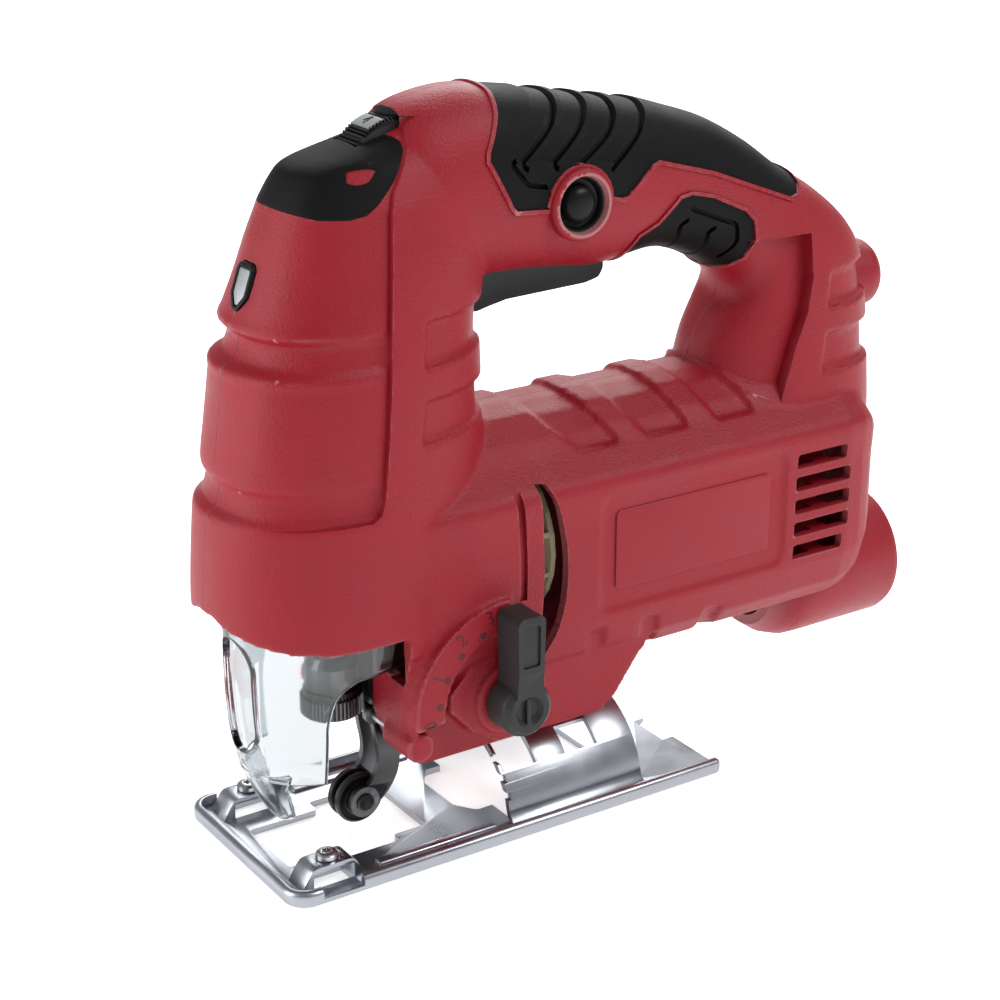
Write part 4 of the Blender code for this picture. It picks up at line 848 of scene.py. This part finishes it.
soft_seat = seat_form("soft_seat", GRIP_THICK - 0.2)
deep_seat, shallow_seat = handle("deep_seat", 1.45, 6, 96), handle("shallow_seat", 0.65, 6, 96)
for name, edge, walls, scoops in (("top_grip", GRIP_EDGE, WALLS, SCOOPS),
                                  ("finger_pad", PAD_EDGE, PAD_WALLS, ())):
    whole = plate(name, "Y", edge, (-40, 40))
    keep(whole, copy_of(form, "trim"))
    cut(whole, copy_of(soft_seat, "trim_inner"))
    sunk = [(outline, shallow_seat) for outline in scoops]
    sunk += [(ribbon(rounded(line, 1.4, 4)[2:-2], 0.75), deep_seat) for line in walls]
    for outline, floor in sunk:
        groove = plate("groove", "Y", outline, ACROSS)
        cut(groove, copy_of(floor, "groove_floor"))
        cut(whole, groove)
    for side in SIDES:
        piece = one_side(whole, f"{name}_{side}_moulded", side)
        if side == "left" and name == "top_grip":
            cut(piece, rod("collar_clear", "Y", BUTTON, (-40, 0), 10.4, 64))
        done(piece, RUBBER, "soft_black", "housing", f"{name}_{side}", angle=40)
    bpy.data.objects.remove(whole)
cap = plate("front_cap_moulded", "Y", CAP_EDGE, (-40, 40))
keep(cap, copy_of(form, "trim"))
cut(cap, copy_of(soft_seat, "trim_inner"))
cut(cap, rod("dial_window", "Y", DIAL, DIAL_SLOT, DIAL_ROOM, 128))
done(cap, RUBBER, "soft_black", "housing", "front_cap", angle=40)
for leftover in (deep_seat, shallow_seat, soft_seat, form):
    bpy.data.objects.remove(leftover)

# %% [markdown]
# ## Hand controls
# The trigger, lock-on button, speed wheel and lamp-sized front button are hard black nylon. The
# wheel is ribbed so that a thumb can turn it, with a plain flat for its number.

# %% Make the trigger and the lock-on button
low, high = span_mm("trigger")
trigger = plate("trigger_moulded", "Y",
                rounded(((low[0], high[2]), (low[0], 149.6), (15, 148.6), (18.5, 149.4), (25, 150.6),
                         (51, 151.2), (55.5, 152.2), (high[0], 154.5), (high[0], high[2])), 0.8),
                (low[1], high[1]))
soften(trigger, 1.1, 4, 40)
done(trigger, BLACK, "black_plastic", "trigger", "trigger")
button = turned("lock_button_domed", "Y", BUTTON,
                ((-20.6, 0), (-20.55, 1.6), (-20.3, 3.0), (-19.8, 4.1), (-19.0, 4.8), (-18, 5.0),
                 (-14, 5.0), (-14, 2.5), (-10.8, 2.5), (-10.8, 0)), 64)
done(button, BLACK, "black_plastic", "lock_on_button", "lock_on_button")

bowl = turned("lock_button_bowl", "Y", BUTTON,
              ((-16.65, 5.25), (-16.65, 7.1), (-19.2, 7.4), (-19.6, 7.3), (-19.3, 7.0),
               (-17.6, 6.4), (-17.2, 5.25)), 96)
done(bowl, BLACK, "black_plastic", "housing")

# %% Rib the speed wheel and print its number
NUMBER_AT = 113         # degrees round the wheel
wheel = plate("speed_wheel_ribbed", "Y", toothed(DIAL, 84, DIAL_R, 0.8, (0, 0.32, 0.5, 0.82)),
              (-DIAL_HALF, DIAL_HALF))
keep(wheel, turned("wheel_round", "Y", DIAL,
                   mirrored([(DIAL_HALF - 0.8, DIAL_R), (DIAL_HALF, DIAL_R - 0.9), (DIAL_HALF, 0)]),
                   128))
cut(wheel, rod("wheel_bore", "Y", DIAL, (-7, 7), 2.2, 32))
done(wheel, BLACK, "black_plastic", "speed_dial", "speed_dial", angle=25)
band = plate("speed_wheel_flat", "Y",
             arc(DIAL, DIAL_R + 0.12, NUMBER_AT - 9, NUMBER_AT + 9, 10)
             + arc(DIAL, DIAL_R - 1.0, NUMBER_AT + 9, NUMBER_AT - 9, 10), (-4.4, 4.4))
soften(band, 0.15, 2)
done(band, GREY_PRINT, "bright_steel", "speed_dial")


def lettering(name, text, size, matrix, depth=0.25):
    """Figures as a mesh, placed by a matrix in millimetres."""
    bpy.ops.object.text_add()
    obj = bpy.context.object
    obj.name = name
    obj.data.body = text
    obj.data.size = size * MM
    obj.data.extrude = depth * MM
    obj.data.align_x, obj.data.align_y = "CENTER", "CENTER"
    obj.data.resolution_u = 6
    only(obj)
    bpy.ops.object.convert(target="MESH")
    obj = bpy.context.object
    matrix = matrix.copy()
    matrix.translation *= MM
    obj.data.transform(matrix)
    obj.location = (0, 0, 0)
    return editing(obj, outward)


angle = radians(NUMBER_AT)
out_dir = Vector((cos(angle), 0, sin(angle)))
place = Matrix.Translation(Vector((DIAL[0], 0, DIAL[1])) + out_dir * (DIAL_R + 0.15))
frame_axes = Matrix((Vector((0, -1, 0)), Vector((sin(angle), 0, -cos(angle))), out_dir)).transposed()
number = lettering("speed_wheel_number", "4", 4.6, place @ frame_axes.to_4x4(), 0.12)
done(number, BLACK, "black_plastic", "speed_dial")

# %% Make the front button with its shield-shaped face
def front_x(z):
    """Where the nose's front lies at a height."""
    return between(NOSE, z)[1]


def shield(name, grow, front, back):
    """A shield between two distances behind the nose's front, grown at each by an amount."""
    return skin(name, [[(front_x(z) + front, y, z) for y, z in shield_outline(grow[0])],
                       [(front_x(z) + back, y, z) for y, z in shield_outline(grow[1])]])


bezel = skin("front_button_bezel",
             [[(front_x(z) - 1.0, y, z) for y, z in shield_outline(0)],
              [(LAMP[0] + 7.5, y, z) for y, z in shield_outline(0)]])
cut(bezel, shield("bezel_recess", (-1.05, -1.05), -2.2, -0.35))
soften(bezel, 0.3, 3)
done(bezel, BLACK, "black_plastic", "front_button", "front_button")
face = shield("front_button_face", (-1.35, -1.15), -0.75, 0.1)
soften(face, 0.2, 3)
done(face, SILVER, "bright_steel", "front_button")

# %% [markdown]
# ## The orbit lever and its scale
# The lever turns a cam shaft that pushes the fork. Raised figures on the housing show its four
# settings, with a dot for each detent.

# %% Shape the lever
low, high = span_mm("pendulum_lever")
face_y, seat_y = low[1], high[1]
lever = plate("orbit_lever", "Y",
              rounded(((5.3, 46), (5.5, 58), (5.2, high[2] - 1.5), (6.4, high[2]), (12.8, high[2]),
                       (14.1, high[2] - 1.5), (13.7, 58), (13.9, 46)), 1.2), (face_y, seat_y))
cut(lever, skin("lever_slope", [[(0, face_y - 1, 40), (20, face_y - 1, 40), (20, face_y - 1, 60),
                                 (0, face_y - 1, 60)],
                                [(0, face_y + 1.8, 40), (20, face_y + 1.8, 40),
                                 (20, face_y + 0.01, 57), (0, face_y + 0.01, 57)]]))
join(lever, turned("lever_hub", "Y", LEVER, ((face_y + 0.8, 0), (face_y + 0.8, 6.2),
                                             (face_y + 2.0, 7.6), (face_y + 3.0, 8.0),
                                             (seat_y, 8.0), (seat_y, 0)), 72))
cut(lever, plate("lever_panel", "Y", rounded(((6.9, 59), (6.8, 71), (12.4, 71), (12.3, 59)), 0.8),
                 (face_y - 1, face_y + 0.7)),
    turned("lever_dimple", "Y", LEVER, ((face_y - 1, 0), (face_y - 1, 4.6), (face_y + 0.9, 4.4),
                                        (face_y + 2.2, 3.2), (face_y + 2.6, 0)), 48),
    rod("lever_socket", "Y", LEVER, (face_y + 3, seat_y + 1), 4.1, 32))
join(lever, block("lever_pointer", (8.9, 10.3), (face_y + 1.2, face_y + 3.5), (41.6, 49.4), 0.2))
soften(lever, 0.45, 3, 40)
done(lever, BLACK, "black_plastic", "pendulum_lever", "pendulum_lever")

# %% Raise the scale's figures and dots
SIDE_TEXT = Matrix(((1, 0, 0), (0, 0, -1), (0, 1, 0)))
marks = []
for figure, x, z in (("0", -15.6, 44.0), ("1", -13.2, 57.2), ("2", -5.6, 66.6), ("3", 3.4, 71.0)):
    lean = atan2(z - LEVER[1], x - LEVER[0]) - pi / 2
    place = Matrix.Translation(Vector((x, -32.35, z))) @ (
        Matrix.Rotation(-lean, 3, "Y") @ SIDE_TEXT).to_4x4()
    marks.append(lettering("figure", figure, 5.4, place, 0.3))
for turn in (112, 133, 152, 172):
    centre = (LEVER[0] + 22.6 * cos(radians(turn)), LEVER[1] + 22.6 * sin(radians(turn)))
    marks.append(turned("dot", "Y", centre, ((-32.66, 0), (-32.66, 1.05), (-32.5, 1.2), (-31.9, 1.2),
                                             (-31.9, 0)), 24))
only(marks[0])
for mark in marks[1:]:
    mark.select_set(True)
bpy.ops.object.join()
marks[0].name = "orbit_scale_marks"
# The figures and dots are coloured with painted shade, a darker red.
done(marks[0], RED_PAINTED_SHADE, "red_nylon", "housing")

# %% [markdown]
# ## The shoe
# The sole is pressed from steel sheet and zinc plated: a lip all round, a round arch for the bevel
# with slots for its screw, and two raised bridges for the guide fence.

# %% Press the shoe
FENCE_SCREW = (-43.7, 23.2)
shoe = plate("pressed_shoe", "Z", [(85.5, 33), (-52, 33)] + arc((-52, 26), 7, 100, 180, 10)
             + arc((-52, -26), 7, 180, 260, 10) + [(-52, -33), (85.5, -33)], (0, 4.8))
soften(shoe, 1.5, 4, 40)
cut(shoe, plate("dish", "Z", [(90, 30.9), (-52, 30.9)] + arc((-52, 26), 4.9, 100, 180, 8)
                + arc((-52, -26), 4.9, 180, 260, 8) + [(-52, -30.9), (90, -30.9)], (2, 9)))
path = ([(27.8, 1.1), (26.4, 1.6), (25.5, 2.8)] + arc((0, -1), 25.1, 11, 169, 72)
        + [(-25.5, 2.8), (-26.4, 1.6), (-27.8, 1.1)])
cut(shoe, block("arch_bay", (15.8, 59), (-24.2, 24.2), (-2, 3)))
arch = plate("arch", "X", ribbon(path, 0.9), (14.7, 61))
for low_z in (8.0, 12.5, 17.0):
    cut(arch, block("arch_tooth", (13, 15.9), (-28, -15), (low_z, low_z + 2.2)))
join(shoe, arch)
for front, rear in ((15.8, 27.0), (37.2, 48.5)):
    fan = [(0, -1)] + arc((0, -1), 32, 90 - 51.4, 90 + 51.4, 24)
    cut(shoe, plate("arch_slot", "X", fan, (front, rear)))
cut(shoe, plate("blade_opening", "Z", rounded(((-50, -13.3), (-50, 11), (-28, 11), (-28, 16),
                                               (-6, 16), (-6, -13.4), (-17, -13.4), (-17, -17),
                                               (-46, -17), (-46, -13.3)), 1.2), (-2, 3.5)),
    plate("rear_window", "Z", rounded(((6.2, -8), (6.2, 8), (10.5, 14.3), (20, 14.3), (20, -14.3),
                                       (10.5, -14.3)), 1.2), (-2, 3.5)),
    block("rear_notch", (81.6, 90), (-9, 6), (-2, 3.5)))
for side in (-1, 1):
    join(shoe, plate("fence_bridge", "Y", rounded(((-54.2, 0.6), (-53, 3.2), (-50.0, 8), (-37.4, 8),
                                                   (-34.4, 3.2), (-33.2, 0.6)), 1.8),
                     sideways(side, 19.2, 27.2)))
    cut(shoe, block("fence_way", (-50, -37.4), sideways(side, 19.1, 34), (2, 6.4)),
        block("fence_pit", (-50, -37.4), sideways(side, 19.4, 27), (-1, 3)),
        rod("fence_thread", "Z", (FENCE_SCREW[0], side * FENCE_SCREW[1]), (4, 9), 1.6, 24))
    join(shoe, block("bead", (-29, 10), sideways(side, 22.9, 26.3), (1, 2.9), 0.8))
soften(shoe, 0.35, 2, 50)
done(shoe, ZINC, "zinc_plate", "shoe", "shoe", angle=40)

# %% Turn the screws
def star(centre, outer, inner, points=6, steps=4):
    """A six-lobed socket's outline."""
    ring = []
    for i in range(points * 2 * steps):
        turn = 2 * pi * i / (points * 2 * steps)
        radius = (outer + inner) / 2 + (outer - inner) / 2 * cos(points * turn)
        ring.append((centre[0] + radius * cos(turn), centre[1] + radius * sin(turn)))
    return ring


for name, side in (("left", -1), ("right", 1)):
    centre = (FENCE_SCREW[0], side * FENCE_SCREW[1])
    screw = turned(f"fence_screw_{name}_turned", "Z", centre,
                   ((5.2, 0), (5.2, 1.5), (8.1, 1.5), (8.1, 2.9), (8.3, 3.1), (9.5, 3.1),
                    (10.05, 2.5), (10.2, 1.6), (10.2, 0)), 40)
    cut(screw, plate("socket", "Z", star(centre, 1.5, 1.1), (8.9, 12)))
    done(screw, STEEL, "bright_steel", "shoe", f"fence_screw_{name}")
for i, (x, z) in enumerate(SCREWS):
    node = f"housing_screw_{i + 1}"
    head = span_mm(node)[1][1]
    screw = turned(f"{node}_turned", "Y", (x, z),
                   ((-9, 0), (-9, 1.7), (head - 2.2, 1.7), (head - 2.2, 3.4), (head - 0.9, 3.4),
                    (head - 0.3, 2.8), (head, 1.9), (head, 0)), 32)
    cut(screw, plate("socket", "Y", star((x, z), 1.7, 1.25), (head - 1.6, head + 1)))
    done(screw, OXIDE, "black_oxide_steel", "housing", node)

# %% [markdown]
# ## The blade's guide
# The fork swings on a cross pin and pushes a grooved roller against the blade's back. Both are
# hardened steel with a black oxide finish.

# %% Shape the fork, roller and pins
low, high = span_mm("roller")
ROLLER = ((low[0] + high[0]) / 2, (low[2] + high[2]) / 2)
spine = rounded(((-14.8, 58), (-14.8, 42), (-14.9, 36), (-14.2, 30), (-12.9, 24), (-13.4, 18),
                 (-16.5, 13), ROLLER), 3.0, 5)[5:-5]
spine = [(-14.8, 58)] + spine + [ROLLER]
fork = block("fork_pressed", (-13.6, -11.6), (-5.2, 5.2), (42, 57.6))
join(fork, block("fork_tail", (-12.5, span_mm("fork")[1][0]), (-4.4, 4.4), (50.8, 53.0)))
for side in (-1, 1):
    join(fork, plate("fork_arm", "Y", ribbon(spine, 3.4), sideways(side, 3.5, 5.5)),
         rod("pin_eye", "Y", ROLLER, sideways(side, 3.6, 5.7), 4.6, 40),
         rod("pivot_eye", "Y", FORK_PIN, sideways(side, 3.6, 5.8), 2.9, 32))
cut(fork, rod("pivot_bore", "Y", FORK_PIN, (-8, 8), 1.62, 32),
    rod("roller_pin_bore", "Y", ROLLER, (-8, 8), 1.9, 32))
done(fork, OXIDE, "black_oxide_steel", "fork", "fork", angle=25)
roller = turned("guide_roller", "Y", ROLLER,
                mirrored([(0.7, 6.2), (0.9, 7.2), (1.2, 7.5), (2.5, 7.5), (2.9, 7.2), (3.1, 6.8),
                          (2.9, 6.4), (2.9, 5.2), (3.2, 5.0), (3.2, 1.92)]), 72)
done(roller, OXIDE, "black_oxide_steel", "roller", "roller")
pin = turned("roller_pin_headed", "Y", ROLLER,
             mirrored([(5.85, 1.8), (5.85, 2.7), (6.2, 2.7), (6.6, 2.4), (6.85, 1.9),
                       (6.85, 0)]), 40)
done(pin, OXIDE, "black_oxide_steel", "fork", "roller_pin")

# %% [markdown]
# ## The blade clamp's collar
# The sprung collar is twisted to free the blade. Its rim is knurled.

# %% Knurl the collar
low, high = span_mm("clamp_collar")
BLADE = ((low[0] + high[0]) / 2, (low[1] + high[1]) / 2)
reach = min(high[0] - low[0], high[1] - low[1]) / 2
collar = plate("clamp_collar_knurled", "Z", toothed(BLADE, 48, reach, 0.55, (0, 0.4, 0.6, 0.8)),
               (low[2], high[2]))
keep(collar, turned("collar_round", "Z", BLADE,
                    ((low[2], 0), (low[2], reach - 0.9), (low[2] + 0.8, reach), (high[2] - 2.2, reach),
                     (high[2] - 1.8, reach - 0.9), (high[2], reach - 0.9), (high[2], 0)), 96))
cut(collar, rod("collar_bore", "Z", BLADE, (low[2] - 1, high[2] + 1), 5.52, 48))
done(collar, OXIDE, "black_oxide_steel", "clamp_collar", "clamp_collar", angle=25)

# %% [markdown]
# ## The blade guard
# The guard is one clear moulding: a wide band with two arms on pegs, and a chin that reaches down
# in front of the blade, with an oval window.

# %% Mould the guard
GUARD_ROWS = ((27.4, -55.6, -34, 19.6), (34, -57.1, -33, 20.6), (40, -58.0, -32, 21.4),
              (49, -58.6, -31, 22.1), (58, -58.8, -30, 22.6), (66, -58.6, -30, 22.8),
              (75, -58.2, -30, 22.9))
CHIN_ROWS = ((10.2, -46.2, -43, 3.0, -42.0, 1.4), (13, -48.6, -44, 4.3, -43.0, 1.6),
             (16, -50.4, -45, 5.2, -44.0, 1.8), (19, -52.2, -46, 6.2, -45.2, 1.9),
             (22, -53.6, -47, 7.0, -46.5, 2.0), (25, -54.9, -46.6, 8.2, -46.2, 2.0),
             (28.5, -56.1, -46, 9.6, -46, 2.0))


def guard_ring(z, front, middle, half, rear, thick=2.0, steps=48):
    """A level band of clear wall, round the front and back along both sides."""
    ring = []
    for grow, turns in ((0, range(steps + 1)), (-thick, range(steps, -1, -1))):
        side = [(middle - (middle - front + grow) * cos(radians(-90 + 180 * i / steps)),
                 (half + grow) * sin(radians(-90 + 180 * i / steps)), z) for i in turns]
        ring += [(rear, side[0][1], z)] + side + [(rear, side[-1][1], z)]
    return ring


guard = skin("blade_guard_clear", [guard_ring(*row, -9.5) for row in GUARD_ROWS])
cut(guard, plate("below_arm", "Y", rounded(((-40.3, 20), (-40.3, 46), (-38.5, 53), (-34, 57),
                                            (-22, 58.3), (0, 59.8), (0, 20)), 3.0), (-30, 30)),
    plate("above_arm", "Y", rounded(((-37, 80), (-35, 71), (-31, 67.3), (0, 66), (0, 80)), 3.0),
          (-30, 30)),
    block("guard_top", (-70, 0), (-30, 30), (74.2, 80)))
join(guard, skin("guard_chin", [guard_ring(*row) for row in CHIN_ROWS]))
window = [(y * 0.95, z + (11 if z > 50 else -3) * 0.6)
          for y, z in arc((0, 53), 8.6, 0, 180, 24) + arc((0, 45), 8.6, 180, 360, 24)]
cut(guard, plate("guard_window", "X", window, (-70, -45)),
    rod("guard_eye", "Y", (-12, 62.7), (-30, 30), 1.57, 32))
soften(guard, 0.35, 2, 50)
done(guard, CLEAR, "clear_plastic", "blade_guard", "blade_guard", angle=45)

# %% [markdown]
# ## Fittings at the rear
# The dust port and the cord's gland are round red mouldings, held between the two shells.

# %% Turn the dust port and the gland
low, high = span_mm("dust_port")
port = turned("dust_port_turned", "X", (0, PORT_Z),
              ((low[0], 12), (low[0], 15), (122, 18.6), (127, 20.3), (131, 20.5), (162.6, 20.5),
               (163.2, 20.2), (high[0] - 0.3, 20.0), (high[0], 19.6), (high[0], 17.8),
               (high[0] - 0.4, 17.5), (130, 17.5), (121, 12)), 128)
done(port, RED, "red_nylon", "housing", "dust_port")
low, high = span_mm("cord_gland")
gland = turned("cord_gland_turned", "X", (0, GLAND_Z),
               ((low[0], 4), (low[0], 12.4), (140.5, 12.4), (140.5, 10.5), (high[0] - 4.5, 10.5),
                (high[0] - 1.6, 10.1), (high[0] - 0.4, 9.2), (high[0], 8.2), (high[0], 5.2),
                (high[0] - 1, 4)), 96)
done(gland, RED, "red_nylon", "housing", "cord_gland")

# %% [markdown]
# ## The blank nameplates
# A shallow plate lies in the recess on each side of the motor. A real tool has a badge there; this
# one is left plain.

# %% Set in the nameplates
for name, side in (("left", -1), ("right", 1)):
    badge = plate(f"nameplate_{name}", "Y", rounded(((47, 68), (102, 68), (102, 91.6), (47, 91.6)),
                                                   2.0, 6), sideways(side, 28.0, 30.1))
    soften(badge, 0.3, 3)
    done(badge, RED_SMOOTH, "red_nylon", "housing")

# %% [markdown]
# ## Finishes for the pieces inside
# The motor, gears and other hidden pieces keep their CAD shape and get the finish of their slot.

# %% Give the remaining CAD nodes their finishes
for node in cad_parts.values():
    for slot in node.material_slots:
        key = slot.material.name.split(".")[0] if slot.material else ""
        slot.material = SLOTS.get(key, BLACK)

# %% [markdown]
# ## The studio
# A pale floor and a few large soft lights, as for a plain catalogue picture.

# %% Lay the floor and hang the lights
FLOOR_GLOW, SKY_GLOW = 0.62, 0.28
bpy.ops.mesh.primitive_plane_add(size=60)
floor = bpy.context.object
floor.name = "studio_floor"
floor.data.materials.append(finish_of("white_paper_floor", "#F4F4F4", 0.6, grain=1.0, bump=0.01,
                                      mottle=0.0, spread=0.02,
                                      **{"Emission Color": linear("#FFFFFF"),
                                         "Emission Strength": FLOOR_GLOW}))
world = bpy.data.worlds.new("studio_world")
scene.world = world
world.use_nodes = True
sky = world.node_tree.nodes["Background"]
sky.inputs["Color"].default_value = (1, 1, 1, 1)
sky.inputs["Strength"].default_value = SKY_GLOW


def softbox(name, place, aim, size, watts):
    """A rectangular light that faces a point."""
    data = bpy.data.lights.new(name, "AREA")
    data.shape = "RECTANGLE"
    data.size, data.size_y = size
    data.energy = watts
    light = bpy.data.objects.new(name, data)
    scene.collection.objects.link(light)
    light.location = place
    light.rotation_euler = (Vector(aim) - Vector(place)).to_track_quat("-Z", "Y").to_euler()
    return light


softbox("left_softbox", (-1.2, 0.35, 0.5), (0.0, 0.0, 0.1), (0.9, 1.1), 12.5)
softbox("key_softbox", (0.7, -0.85, 1.15), (0.05, 0.0, 0.1), (0.6, 0.6), 12)
softbox("back_softbox", (0.75, 0.75, 0.8), (0.0, 0.0, 0.12), (1.0, 0.8), 11)
scene.view_settings.view_transform = "Standard"
